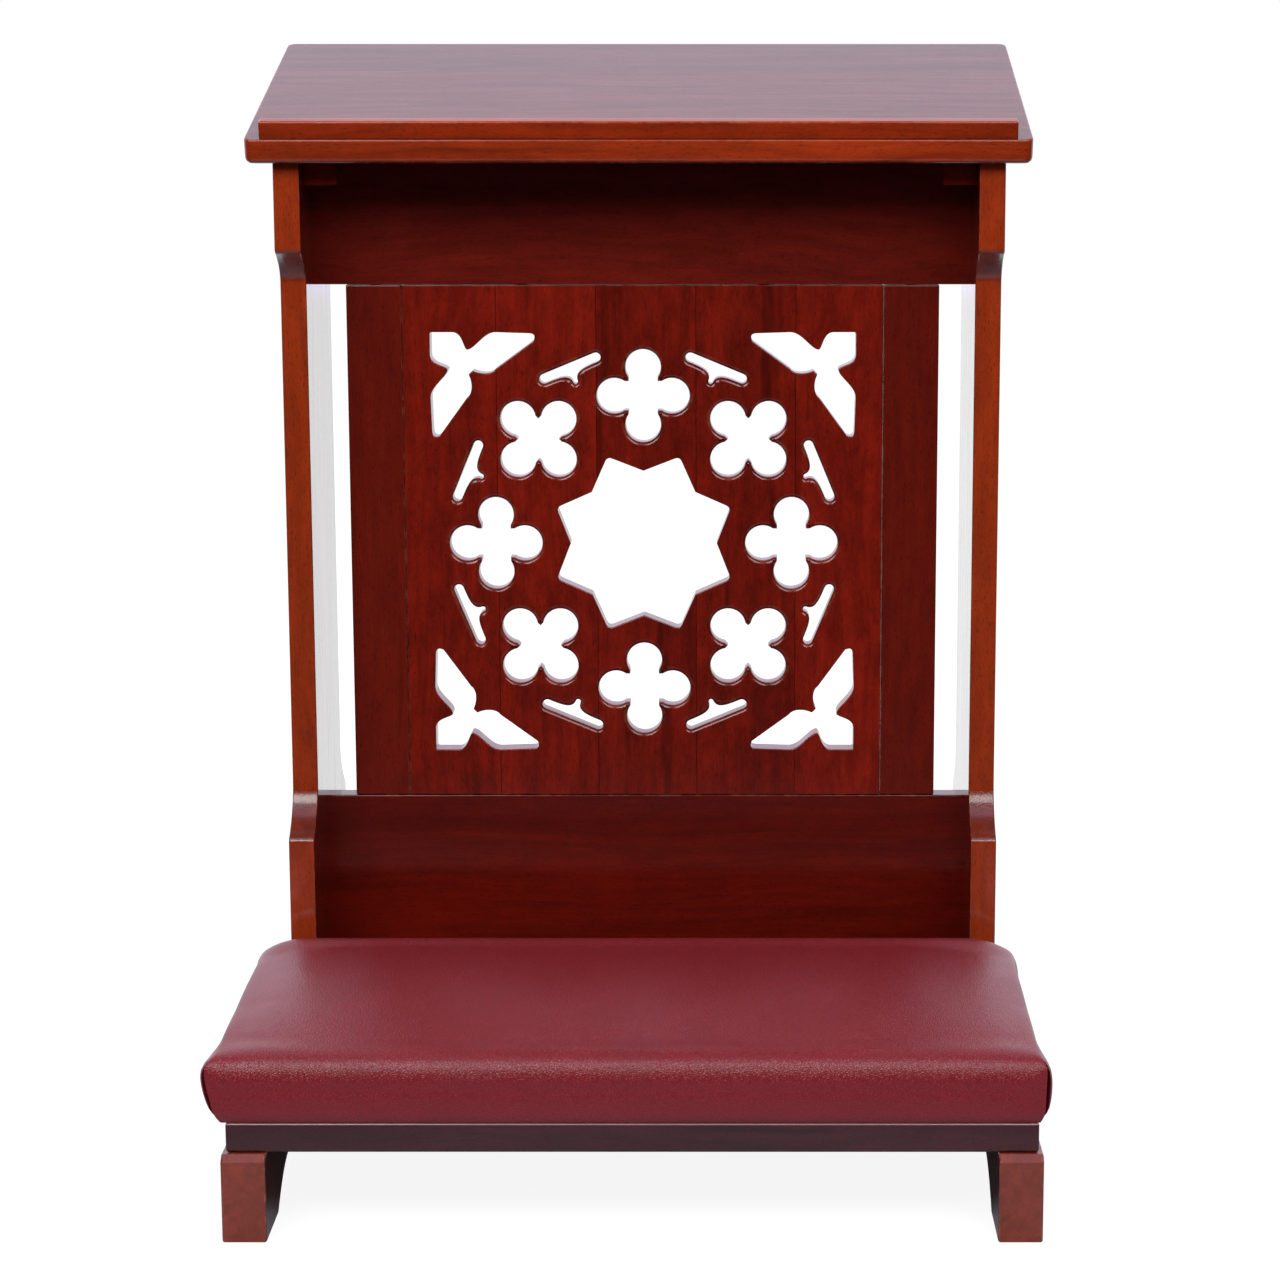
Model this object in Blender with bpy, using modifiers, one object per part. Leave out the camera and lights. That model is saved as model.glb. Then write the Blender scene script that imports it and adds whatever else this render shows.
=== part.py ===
"""Prayer kneeler: a sloped desk top on two shaped side boards, a pierced panel between
two rails, and an upholstered pad on a kneeling board carried by a pair of arched runners.

Units are metres, Z is up and the front faces -Y. The origin is on the floor, at the
middle of the box around the object. A setback is a distance back from the front of the
runners, and a height is measured up from the floor.
"""

import math

import bmesh
import bpy
from mathutils import Matrix
from mathutils import Vector

# Clearances and roundness
FIT_GAP = 0.0003
CURVE_STEPS = 8
FASTENER_SIDES = 10
ROUND_STEPS = 2
ROUND_FROM_ANGLE = math.radians(50)
FLAT_WITHIN_ANGLE = math.radians(1)
WELD_DISTANCE = FIT_GAP / 100

# Fretwork, drawn outwards from its centre
STAR_POINTS = 8
STAR_RADIUS = 0.0708
STAR_NOTCH_RADIUS = 0.0549
RING_BAR = 0.0222
QUATREFOILS = 8
LOBES = 4
LOBE_RADIUS = 0.0129
LOBE_BAR = 0.004
LOBE_SWEEP = math.radians(125)
LOBE_STEPS = 10
SPANDREL_RISE = 0.035
SPANDREL_HALF_LENGTH = 0.0244
SPANDREL_DEPTH = 0.017
SPANDREL_END = 0.008
CORNERS = 4
CORNER_BAR = 0.0125
LEAF_LENGTH = 0.0786
LEAF_CREST = 0.049
LEAF_BELLY = 0.030
LEAF_TIP = 0.008
LEAF_NOTCH = 0.013
CORNER_LOBE = 0.0275
LOBE_SHOULDER = 0.0165
CORNER_ROUND = 0.003
LEAF_DRAFT = 0.0004
PANEL_MARGIN = 0.0205
PANEL_THICKNESS = 0.019

# Frame between the side boards
STILE_WIDTH = 0.041
SIDE_GAP = 0.0232
RAIL_THICKNESS = 0.019
RAIL_INSET = 0.045
UPPER_RAIL_LIFT = 0.005
LOWER_RAIL_RISE = 0.0172
LOWER_RAIL_HEIGHT = 0.140

# Side boards, from the runners up
SIDE_THICKNESS = 0.019
WAIST_SETBACK = 0.307
WAIST_DEPTH = 0.139
LOWER_STEP = 0.029
UPPER_STEP = 0.0255
LOWER_BLOCK_HEIGHT = 0.1475
LOWER_CURVE_RISE = 0.0255
WAIST_HEIGHT = 0.375
UPPER_CURVE_RISE = 0.034
UPPER_BLOCK_HEIGHT = 0.0645

# Desk top, book ledge and cleats
DESK_SLOPE = math.radians(15.6)
DESK_LENGTH = 0.259
DESK_THICKNESS = 0.0185
DESK_OVERHANG = 0.018
DESK_CORNER_RADIUS = 0.007
DESK_EDGE_ROUND = 0.004
LEDGE_END_INSET = 0.011
LEDGE_SETBACK = 0.003
LEDGE_THICKNESS = 0.011
LEDGE_HEIGHT = 0.0125
LEDGE_EDGE_ROUND = 0.002
CLEAT_SIZE = 0.024
CLEAT_SETBACK = 0.022

# Runners and kneeling board
RUNNER_HEIGHT = 0.060
RUNNER_THICKNESS = 0.030
RUNNER_TAIL = 0.025
RUNNER_FOOT = 0.055
RUNNER_RAMP = 0.060
RUNNER_RELIEF = 0.025
RUNNER_CHAMFER = 0.0045
BOARD_SETBACK = 0.006
BOARD_END_INSET = 0.003
BOARD_THICKNESS = 0.021

# Kneeling pad
PAD_SETBACK = 0.001
PAD_REAR_GAP = 0.025
PAD_OVERHANG = 0.0065
PAD_EDGE_HEIGHT = 0.055
PAD_CROWN = 0.010
PAD_WAIST = 0.003
PAD_TUCK = 0.005
PAD_SHOULDER = 0.032
PAD_TOP_ROUND = 0.0256
PAD_TOE = 0.012
PAD_LOOPS_ACROSS = 6
PAD_LOOPS_DEEP = 4
PAD_COVER_THICKNESS = 0.0015
PAD_BASE_THICKNESS = 0.009
PAD_BASE_INSET = 0.026
PAD_HEM_EASE = 0.0006

# Dowels, screws and bolts
DOWEL_DIAMETER = 0.008
DOWEL_LENGTH = 0.030
DOWEL_WALL = 0.006
RAIL_DOWEL_INSET = 0.028
PANEL_DOWEL_SPREAD = 0.090
SCREW_DIAMETER = 0.004
SCREW_HEAD_DIAMETER = 0.0076
SCREW_POINT = 0.004
SCREW_SINK = 0.0008
BOLT_DIAMETER = 0.0065
BOLT_HEAD_DIAMETER = 0.012
BOLT_GRIP = 0.028
BOLT_BITE = 0.045
BOLT_INSET = 0.035
BOARD_SCREW_BITE = 0.022
BOARD_SCREW_INSET = 0.040
PAD_SCREW_BITE = 0.006
PAD_SCREW_INSET = 0.120
CLEAT_SCREW_BITE = 0.010
LEDGE_SCREW_BITE = 0.008
LEDGE_SCREW_SPREAD = 0.200
DRILL_RUN_OUT = 0.004

# Widths that follow from the fretwork outwards
LOBE_OFFSET = (LOBE_RADIUS + LOBE_BAR / 2) * math.sqrt(2)
RING_RADIUS = STAR_NOTCH_RADIUS + RING_BAR + LOBE_OFFSET + LOBE_RADIUS
SPANDREL_RADIUS = RING_RADIUS + SPANDREL_RISE
SQUARE_HALF = SPANDREL_RADIUS + CORNER_BAR
PANEL_WIDTH = 2 * (SQUARE_HALF + PANEL_MARGIN)
STILE_CENTRE = PANEL_WIDTH / 2 + FIT_GAP + STILE_WIDTH / 2
INNER_WIDTH = 2 * (STILE_CENTRE + STILE_WIDTH / 2 + SIDE_GAP)
SIDE_CENTRE = INNER_WIDTH / 2 + SIDE_THICKNESS / 2
RUNNER_CENTRE = INNER_WIDTH / 2 + RUNNER_THICKNESS / 2
DESK_WIDTH = INNER_WIDTH + 2 * (SIDE_THICKNESS + DESK_OVERHANG)
BOARD_WIDTH = INNER_WIDTH + 2 * (RUNNER_THICKNESS - BOARD_END_INSET)
PAD_WIDTH = BOARD_WIDTH + 2 * PAD_OVERHANG

# Setbacks that follow from the side boards
LOWER_FRONT = WAIST_SETBACK - LOWER_STEP
LOWER_BACK = WAIST_SETBACK + WAIST_DEPTH + LOWER_STEP
UPPER_FRONT = WAIST_SETBACK - UPPER_STEP
UPPER_BACK = WAIST_SETBACK + WAIST_DEPTH + UPPER_STEP
RUNNER_LENGTH = LOWER_BACK + RUNNER_TAIL
RAIL_FRONT = WAIST_SETBACK + RAIL_INSET
RAIL_MIDDLE = RAIL_FRONT + RAIL_THICKNESS / 2
RAIL_BACK = RAIL_FRONT + RAIL_THICKNESS
BOARD_BACK = LOWER_FRONT - FIT_GAP
PAD_DEPTH = LOWER_FRONT - PAD_REAR_GAP - PAD_SETBACK
DESK_FRONT = UPPER_FRONT - DESK_OVERHANG
DESK_RISE = math.sin(DESK_SLOPE)
DESK_RUN = math.cos(DESK_SLOPE)
DESK_BACK = DESK_FRONT + DESK_LENGTH * DESK_RUN
OVERALL_DEPTH = DESK_BACK + (DESK_THICKNESS - DESK_EDGE_ROUND) * DESK_RISE

# Heights that follow from the runners up
LOWER_BLOCK_TOP = RUNNER_HEIGHT + LOWER_BLOCK_HEIGHT
WAIST_FOOT = LOWER_BLOCK_TOP + LOWER_CURVE_RISE
WAIST_TOP = WAIST_FOOT + WAIST_HEIGHT
UPPER_BLOCK_FOOT = WAIST_TOP + UPPER_CURVE_RISE
DESK_SEAT = UPPER_BLOCK_FOOT + UPPER_BLOCK_HEIGHT
UPPER_RAIL_FOOT = WAIST_TOP + UPPER_RAIL_LIFT
LOWER_RAIL_TOP = LOWER_BLOCK_TOP + LOWER_RAIL_RISE
LOWER_RAIL_FOOT = LOWER_RAIL_TOP - LOWER_RAIL_HEIGHT
PANEL_HEIGHT = UPPER_RAIL_FOOT - LOWER_RAIL_TOP - 2 * FIT_GAP
PANEL_MIDDLE = (UPPER_RAIL_FOOT + LOWER_RAIL_TOP) / 2
BOARD_FOOT = RUNNER_HEIGHT + FIT_GAP
BOARD_TOP = BOARD_FOOT + BOARD_THICKNESS
PAD_FOOT = BOARD_TOP + FIT_GAP
PAD_BASE_FOOT = PAD_FOOT + PAD_COVER_THICKNESS + PAD_HEM_EASE
PAD_FOAM_FOOT = PAD_BASE_FOOT + PAD_BASE_THICKNESS + FIT_GAP

# Ways to stand a flat outline up: its x and y become the two directions that are named
ACROSS_UP = Matrix.Rotation(math.pi / 2, 4, "X")
BACK_UP = Matrix.Rotation(math.pi / 2, 4, "Z") @ Matrix.Rotation(math.pi / 2, 4, "X")

# Ways to point a fastener, whose own length runs down -Z
POINT_DOWN = Matrix.Identity(4)
POINT_UP = Matrix.Rotation(math.pi, 4, "X")
POINT_LEFT = Matrix.Rotation(math.pi / 2, 4, "Y")
POINT_RIGHT = Matrix.Rotation(-math.pi / 2, 4, "Y")

SIDES = (("left", -1), ("right", 1))


# Scene


def clear_scene():
    for item in list(bpy.data.objects):
        bpy.data.objects.remove(item, do_unlink=True)


def new_collection(name):
    collection = bpy.data.collections.new(name)
    bpy.context.scene.collection.children.link(collection)
    return collection


def new_finish(name, colour, roughness, metallic=0.0):
    material = bpy.data.materials.new(name)
    material.use_nodes = True
    shader = material.node_tree.nodes["Principled BSDF"]
    shader.inputs["Base Color"].default_value = (*colour, 1.0)
    shader.inputs["Roughness"].default_value = roughness
    shader.inputs["Metallic"].default_value = metallic
    return material


clear_scene()
PARTS = new_collection("prayer_kneeler")
CUTTERS = new_collection("prayer_kneeler_cutters")
FLOOR_CENTRE = bpy.data.objects.new("floor_centre", None)
PARTS.objects.link(FLOOR_CENTRE)

DESK_WOOD = new_finish("desk mahogany", (0.105, 0.022, 0.012), 0.25)
BOARD_WOOD = new_finish("board mahogany", (0.150, 0.030, 0.012), 0.28)
PANEL_WOOD = new_finish("panel mahogany", (0.110, 0.020, 0.009), 0.28)
RUNNER_WOOD = new_finish("runner mahogany", (0.120, 0.028, 0.014), 0.30)
LEATHERETTE = new_finish("burgundy leatherette", (0.140, 0.022, 0.030), 0.45)
PLYWOOD = new_finish("plywood", (0.450, 0.290, 0.150), 0.75)
FOAM = new_finish("pad foam", (0.720, 0.640, 0.420), 0.95)
BEECH = new_finish("beech dowel", (0.520, 0.340, 0.180), 0.70)
STEEL = new_finish("zinc plated steel", (0.560, 0.560, 0.580), 0.35, 1.0)


# Making and placing pieces


def place(name, mesh, finish, matrix):
    piece = bpy.data.objects.new(name, mesh)
    piece.matrix_world = matrix
    piece.data.materials.clear()
    piece.data.materials.append(finish)
    PARTS.objects.link(piece)
    piece.parent = FLOOR_CENTRE
    return piece


def at(x, setback, height):
    """World matrix of a point given by its setback and height."""
    return Matrix.Translation((x, setback - OVERALL_DEPTH / 2, height))


def weld(mesh, pierced):
    """Join the loose caps of a filled outline, and make each cap one face if it has no holes."""
    work = bmesh.new()
    work.from_mesh(mesh)
    bmesh.ops.remove_doubles(work, verts=work.verts, dist=WELD_DISTANCE)
    if not pierced:
        bmesh.ops.dissolve_limit(
            work, angle_limit=FLAT_WITHIN_ANGLE, verts=work.verts, edges=work.edges
        )
    bmesh.ops.recalc_face_normals(work, faces=work.faces)
    work.to_mesh(mesh)
    work.free()


def outline_mesh(name, outlines, thickness):
    """Plate of the given thickness; outlines inside the first one are holes."""
    curve = bpy.data.curves.new(name, "CURVE")
    curve.dimensions = "2D"
    curve.fill_mode = "BOTH"
    curve.extrude = thickness / 2
    for points in outlines:
        spline = curve.splines.new("POLY")
        spline.points.add(len(points) - 1)
        for spot, (x, y) in zip(spline.points, points):
            spot.co = (x, y, 0.0, 1.0)
        spline.use_cyclic_u = True
    guide = bpy.data.objects.new(name, curve)
    PARTS.objects.link(guide)
    evaluated = guide.evaluated_get(bpy.context.evaluated_depsgraph_get())
    mesh = bpy.data.meshes.new_from_object(evaluated)
    bpy.data.objects.remove(guide, do_unlink=True)
    bpy.data.curves.remove(curve)
    weld(mesh, len(outlines) > 1)
    return mesh


def box_mesh(name, width, depth, height):
    work = bmesh.new()
    bmesh.ops.create_cube(work, size=1.0, matrix=Matrix.Diagonal((width, depth, height, 1.0)))
    mesh = bpy.data.meshes.new(name)
    work.to_mesh(mesh)
    work.free()
    return mesh


def round_edges(piece, width):
    bevel = piece.modifiers.new("rounded edges", "BEVEL")
    bevel.width = width
    bevel.segments = ROUND_STEPS
    bevel.limit_method = "ANGLE"
    bevel.angle_limit = ROUND_FROM_ANGLE


def turned_object(name, profile, matrix, collection):
    """Solid of revolution about Z from (radius, height) points, listed from its top down."""
    mesh = bpy.data.meshes.new(name)
    points = [(radius, 0.0, height) for radius, height in profile]
    edges = [(number, number + 1) for number in range(len(points) - 1)]
    mesh.from_pydata(points, edges, [])
    piece = bpy.data.objects.new(name, mesh)
    piece.matrix_world = matrix
    collection.objects.link(piece)
    screw = piece.modifiers.new("turning", "SCREW")
    screw.steps = FASTENER_SIDES
    screw.render_steps = FASTENER_SIDES
    screw.use_merge_vertices = True
    screw.merge_threshold = WELD_DISTANCE
    screw.use_smooth_shade = False
    return piece


def drill(hole, pieces):
    hole.hide_render = True
    hole.display_type = "WIRE"
    for piece in pieces:
        cut = piece.modifiers.new(hole.name, "BOOLEAN")
        cut.operation = "DIFFERENCE"
        cut.solver = "EXACT"
        cut.object = hole


def add_fastener(name, profile, hole_profile, matrix, finish, pieces):
    fastener = turned_object(name, profile, matrix, PARTS)
    fastener.data.materials.append(finish)
    fastener.parent = FLOOR_CENTRE
    hole = turned_object(name + "_hole", hole_profile, matrix, CUTTERS)
    drill(hole, pieces)


def dowel_profile(grow):
    radius = DOWEL_DIAMETER / 2 + grow
    half = DOWEL_LENGTH / 2 + grow
    return [(0.0, half), (radius, half), (radius, -half), (0.0, -half)]


def add_dowel(name, matrix, pieces):
    """Dowel centred on the matrix, in a hole that is larger all round."""
    add_fastener(name, dowel_profile(0.0), dowel_profile(FIT_GAP), matrix, BEECH, pieces)


def screw_profile(length, diameter, head_diameter):
    head_depth = (head_diameter - diameter) / 2
    return [
        (0.0, 0.0),
        (head_diameter / 2, 0.0),
        (diameter / 2, -head_depth),
        (diameter / 2, SCREW_POINT - length),
        (0.0, -length),
    ]


def screw_hole_profile(length, diameter, head_diameter, run_out):
    """The screw's own shape with clearance, open at the head side."""
    head_depth = (head_diameter - diameter) / 2
    return [
        (0.0, run_out),
        (head_diameter / 2 + FIT_GAP, run_out),
        (head_diameter / 2 + FIT_GAP, -FIT_GAP),
        (diameter / 2 + FIT_GAP, -FIT_GAP - head_depth),
        (diameter / 2 + FIT_GAP, SCREW_POINT - length - FIT_GAP),
        (0.0, -length - 2 * FIT_GAP),
    ]


def add_screw(name, length, matrix, pieces):
    """Countersunk screw whose head is sunk a little below the face that the matrix sits on."""
    sunk = matrix @ Matrix.Translation((0.0, 0.0, -SCREW_SINK))
    profile = screw_profile(length, SCREW_DIAMETER, SCREW_HEAD_DIAMETER)
    hole = screw_hole_profile(length, SCREW_DIAMETER, SCREW_HEAD_DIAMETER, DRILL_RUN_OUT)
    add_fastener(name, profile, hole, sunk, STEEL, pieces)


# Outlines


def blend(start, end, share):
    return start + (end - start) * share


def ogee(start, end):
    """S-curve whose ends run along the second direction."""
    points = []
    for step in range(CURVE_STEPS + 1):
        share = step / CURVE_STEPS
        ease = share * share * (3 - 2 * share)
        points.append((blend(start[0], end[0], ease), blend(start[1], end[1], share)))
    return points


def arc(centre, radius, start, end, steps):
    points = []
    for step in range(steps + 1):
        angle = blend(start, end, step / steps)
        points.append((centre[0] + radius * math.cos(angle), centre[1] + radius * math.sin(angle)))
    return points


def sweep(start, bend_from, bend_to, end):
    """Cubic curve from start up to, but without, its end, pulled towards two bend points."""
    points = []
    for step in range(CURVE_STEPS):
        share = step / CURVE_STEPS
        rest = 1 - share
        weights = (rest**3, 3 * rest**2 * share, 3 * rest * share**2, share**3)
        knots = (start, bend_from, bend_to, end)
        points.append(tuple(sum(w * knot[k] for w, knot in zip(weights, knots)) for k in (0, 1)))
    return points


def mirrored(points):
    """The same outline with its two directions swapped, walked backwards."""
    return [(second, first) for first, second in reversed(points)]


def turn(points, angle, offset=(0.0, 0.0)):
    cosine = math.cos(angle)
    sine = math.sin(angle)
    turned = []
    for x, y in points:
        x += offset[0]
        y += offset[1]
        turned.append((x * cosine - y * sine, x * sine + y * cosine))
    return turned


def star_outline():
    points = []
    for number in range(2 * STAR_POINTS):
        radius = STAR_RADIUS if number % 2 else STAR_NOTCH_RADIUS
        angle = number * math.pi / STAR_POINTS
        points.append((radius * math.cos(angle), radius * math.sin(angle)))
    return points


def quatrefoil_outline():
    """Four round lobes with a cusp between each pair."""
    points = []
    for number in range(LOBES):
        outward = number * 2 * math.pi / LOBES
        centre = (LOBE_OFFSET * math.cos(outward), LOBE_OFFSET * math.sin(outward))
        points += arc(centre, LOBE_RADIUS, outward - LOBE_SWEEP, outward + LOBE_SWEEP, LOBE_STEPS)
        cusp_angle = outward + math.pi / LOBES
        cusp_radius = LOBE_OFFSET * math.cos(math.pi / LOBES)
        points.append((cusp_radius * math.cos(cusp_angle), cusp_radius * math.sin(cusp_angle)))
    return points


def spandrel_outline():
    """Sliver along a tangent: straight outside, two hollows and a cusp inside, round ends."""
    outer = SPANDREL_RADIUS
    inner = outer - SPANDREL_END
    tip = outer - SPANDREL_DEPTH
    end_radius = SPANDREL_END / 2
    end_centre = SPANDREL_HALF_LENGTH - end_radius
    hollow = end_centre / 2
    near = arc((outer - end_radius, end_centre), end_radius, 0.0, math.pi, CURVE_STEPS // 2)
    far = arc((outer - end_radius, -end_centre), end_radius, math.pi, 2 * math.pi, CURVE_STEPS // 2)
    inward = sweep(near[-1], (inner, hollow), (inner, hollow / 2), (tip, 0.0))
    outward = sweep((tip, 0.0), (inner, -hollow / 2), (inner, -hollow), far[0])
    return near + inward[1:] + outward + far


def leaf_outline():
    """Three leaves in a corner: a squarish one in the corner itself and two long ones."""
    shoulder = (LOBE_SHOULDER, 0.0)
    notch = (CORNER_LOBE, LEAF_NOTCH)
    crest = (LEAF_CREST, LEAF_DRAFT)
    tip_start = (LEAF_LENGTH - 2 * CORNER_ROUND, 2 * LEAF_DRAFT)
    tip = (LEAF_LENGTH, CORNER_ROUND)
    tip_end = (LEAF_LENGTH - CORNER_ROUND / 2, LEAF_TIP)
    belly = (LEAF_CREST, LEAF_BELLY - CORNER_ROUND)
    cusp = (LEAF_BELLY + CORNER_ROUND / 2, LEAF_BELLY - CORNER_ROUND / 2)
    lobe_bend = CORNER_LOBE - CORNER_ROUND
    leaf_bend = CORNER_LOBE + 2 * CORNER_ROUND
    crest_bend = LEAF_CREST - 3 * CORNER_ROUND
    swell = LEAF_BELLY + CORNER_ROUND / 2
    half = [(CORNER_ROUND, LEAF_DRAFT / 2)]
    half += sweep(shoulder, (lobe_bend, 0.0), (lobe_bend, LEAF_NOTCH - CORNER_ROUND / 2), notch)
    half += sweep(notch, (leaf_bend, LEAF_NOTCH), (crest_bend, 0.0), crest)
    half += [crest]
    half += sweep(tip_start, (LEAF_LENGTH, 2 * LEAF_DRAFT), tip, tip_end)
    half += [tip_end]
    half += sweep(belly, (LEAF_CREST - CORNER_ROUND, swell), (cusp[0] + 2 * CORNER_ROUND, swell), cusp)
    half += [cusp]
    return half + mirrored(half)


def rounded_rectangle(width, depth, radius):
    """Rectangle from y = 0 to y = depth, centred across."""
    x = width / 2 - radius
    near = radius
    far = depth - radius
    steps = CURVE_STEPS // 2
    quarter = math.pi / 2
    points = arc((x, near), radius, -quarter, 0.0, steps)
    points += arc((x, far), radius, 0.0, quarter, steps)
    points += arc((-x, far), radius, quarter, 2 * quarter, steps)
    points += arc((-x, near), radius, 2 * quarter, 3 * quarter, steps)
    return points


def desk_underside(setback):
    return DESK_SEAT + (setback - UPPER_FRONT) * math.tan(DESK_SLOPE)


def side_outline():
    """Setback and height round a side board, from its front foot up and over to its back."""
    front = [(LOWER_FRONT, RUNNER_HEIGHT + FIT_GAP)]
    front += ogee((LOWER_FRONT, LOWER_BLOCK_TOP), (WAIST_SETBACK, WAIST_FOOT))
    front += ogee((WAIST_SETBACK, WAIST_TOP), (UPPER_FRONT, UPPER_BLOCK_FOOT))
    middle = WAIST_SETBACK + WAIST_DEPTH / 2
    back = [(2 * middle - setback, height) for setback, height in reversed(front)]
    head_front = (UPPER_FRONT, desk_underside(UPPER_FRONT) - FIT_GAP)
    head_back = (UPPER_BACK, desk_underside(UPPER_BACK) - FIT_GAP)
    return front + [head_front, head_back] + back


def runner_outline():
    """Setback and height round a runner: flat feet, an arch between them, chamfered ends."""
    front = [(RUNNER_CHAMFER, RUNNER_HEIGHT), (0.0, RUNNER_HEIGHT - RUNNER_CHAMFER), (0.0, 0.0)]
    for step in range(CURVE_STEPS + 1):
        share = step / CURVE_STEPS
        rise = 1 - (1 - share) ** 2
        front.append((RUNNER_FOOT + RUNNER_RAMP * share, RUNNER_RELIEF * rise))
    back = [(RUNNER_LENGTH - setback, height) for setback, height in reversed(front)]
    return front + back


def under_desk_outline(front, back, drop_front, drop_back):
    """Upright section whose top lies close under the desk."""
    return [
        (front, drop_front),
        (back, drop_back),
        (back, desk_underside(back) - FIT_GAP),
        (front, desk_underside(front) - FIT_GAP),
    ]


# Wooden pieces


def add_runners():
    pieces = {}
    for side, sign in SIDES:
        mesh = outline_mesh(side + "_runner", [runner_outline()], RUNNER_THICKNESS)
        where = at(sign * RUNNER_CENTRE, 0.0, 0.0) @ BACK_UP
        pieces[side] = place(side + "_runner", mesh, RUNNER_WOOD, where)
    return pieces


def add_side_boards():
    pieces = {}
    for side, sign in SIDES:
        mesh = outline_mesh(side + "_side_board", [side_outline()], SIDE_THICKNESS)
        where = at(sign * SIDE_CENTRE, 0.0, 0.0) @ BACK_UP
        pieces[side] = place(side + "_side_board", mesh, BOARD_WOOD, where)
    return pieces


def add_rails():
    length = INNER_WIDTH - 2 * FIT_GAP
    upper = under_desk_outline(RAIL_FRONT, RAIL_BACK, UPPER_RAIL_FOOT, UPPER_RAIL_FOOT)
    upper_mesh = outline_mesh("upper_rail", [upper], length)
    upper_rail = place("upper_rail", upper_mesh, PANEL_WOOD, at(0.0, 0.0, 0.0) @ BACK_UP)
    lower_mesh = box_mesh("lower_rail", length, RAIL_THICKNESS, LOWER_RAIL_HEIGHT)
    lower_middle = LOWER_RAIL_FOOT + LOWER_RAIL_HEIGHT / 2
    lower_rail = place("lower_rail", lower_mesh, PANEL_WOOD, at(0.0, RAIL_MIDDLE, lower_middle))
    return upper_rail, lower_rail


def fretwork_holes():
    holes = [star_outline()]
    step = 2 * math.pi / QUATREFOILS
    for number in range(QUATREFOILS):
        angle = number * step
        holes.append(turn(quatrefoil_outline(), angle, (RING_RADIUS, 0.0)))
        holes.append(turn(spandrel_outline(), angle + step / 2))
    for number in range(CORNERS):
        corner = [(x - SQUARE_HALF, y - SQUARE_HALF) for x, y in leaf_outline()]
        holes.append(turn(corner, number * 2 * math.pi / CORNERS))
    return holes


def add_panel():
    half_width = PANEL_WIDTH / 2
    half_height = PANEL_HEIGHT / 2
    edge = [
        (-half_width, -half_height),
        (half_width, -half_height),
        (half_width, half_height),
        (-half_width, half_height),
    ]
    panel_setback = RAIL_FRONT + PANEL_THICKNESS / 2
    mesh = outline_mesh("fretwork_panel", [edge] + fretwork_holes(), PANEL_THICKNESS)
    where = at(0.0, panel_setback, PANEL_MIDDLE) @ ACROSS_UP
    panel = place("fretwork_panel", mesh, PANEL_WOOD, where)
    stiles = {}
    for side, sign in SIDES:
        stile = box_mesh(side + "_stile", STILE_WIDTH, PANEL_THICKNESS, PANEL_HEIGHT)
        where = at(sign * STILE_CENTRE, panel_setback, PANEL_MIDDLE)
        stiles[side] = place(side + "_stile", stile, PANEL_WOOD, where)
    return panel, stiles


def desk_matrix():
    """Frame of the desk: its origin is the middle of the desk's upper front edge."""
    lower_edge = DESK_FRONT + DESK_THICKNESS * DESK_RISE
    height = desk_underside(lower_edge) + DESK_THICKNESS * DESK_RUN
    return at(0.0, DESK_FRONT, height) @ Matrix.Rotation(DESK_SLOPE, 4, "X")


def add_desk():
    frame = desk_matrix()
    outline = rounded_rectangle(DESK_WIDTH, DESK_LENGTH, DESK_CORNER_RADIUS)
    mesh = outline_mesh("desk_top", [outline], DESK_THICKNESS)
    middle = Matrix.Translation((0.0, 0.0, -DESK_THICKNESS / 2))
    desk = place("desk_top", mesh, DESK_WOOD, frame @ middle)
    round_edges(desk, DESK_EDGE_ROUND)
    ledge_width = DESK_WIDTH - 2 * LEDGE_END_INSET
    ledge_mesh = box_mesh("book_ledge", ledge_width, LEDGE_THICKNESS, LEDGE_HEIGHT)
    seat = Vector((0.0, LEDGE_SETBACK + LEDGE_THICKNESS / 2, FIT_GAP + LEDGE_HEIGHT / 2))
    ledge = place("book_ledge", ledge_mesh, DESK_WOOD, frame @ Matrix.Translation(seat))
    round_edges(ledge, LEDGE_EDGE_ROUND)
    return desk, ledge


def add_cleats():
    spans = (
        ("front", UPPER_FRONT + CLEAT_SETBACK, RAIL_FRONT - FIT_GAP),
        ("rear", RAIL_BACK + FIT_GAP, UPPER_BACK - CLEAT_SETBACK),
    )
    drop = CLEAT_SIZE / DESK_RUN
    cleats = []
    for end, front, back in spans:
        feet = (desk_underside(front) - drop, desk_underside(back) - drop)
        outline = under_desk_outline(front, back, *feet)
        for side, sign in SIDES:
            name = f"{end}_{side}_cleat"
            x = sign * (INNER_WIDTH / 2 - FIT_GAP - CLEAT_SIZE / 2)
            mesh = outline_mesh(name, [outline], CLEAT_SIZE)
            piece = place(name, mesh, BOARD_WOOD, at(x, 0.0, 0.0) @ BACK_UP)
            cleats.append((piece, side, sign, front, back))
    return cleats


def add_kneeling_board():
    depth = BOARD_BACK - BOARD_SETBACK
    mesh = box_mesh("kneeling_board", BOARD_WIDTH, depth, BOARD_THICKNESS)
    where = at(0.0, BOARD_SETBACK + depth / 2, BOARD_FOOT + BOARD_THICKNESS / 2)
    return place("kneeling_board", mesh, RUNNER_WOOD, where)


# Pad


def cut_loop(work, position, normal):
    everything = work.verts[:] + work.edges[:] + work.faces[:]
    bmesh.ops.bisect_plane(work, geom=everything, plane_co=position, plane_no=normal)


def loop_shares(loops):
    """Even steps from -1 to 1."""
    return [2 * number / (loops - 1) - 1 for number in range(loops)]


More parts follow.
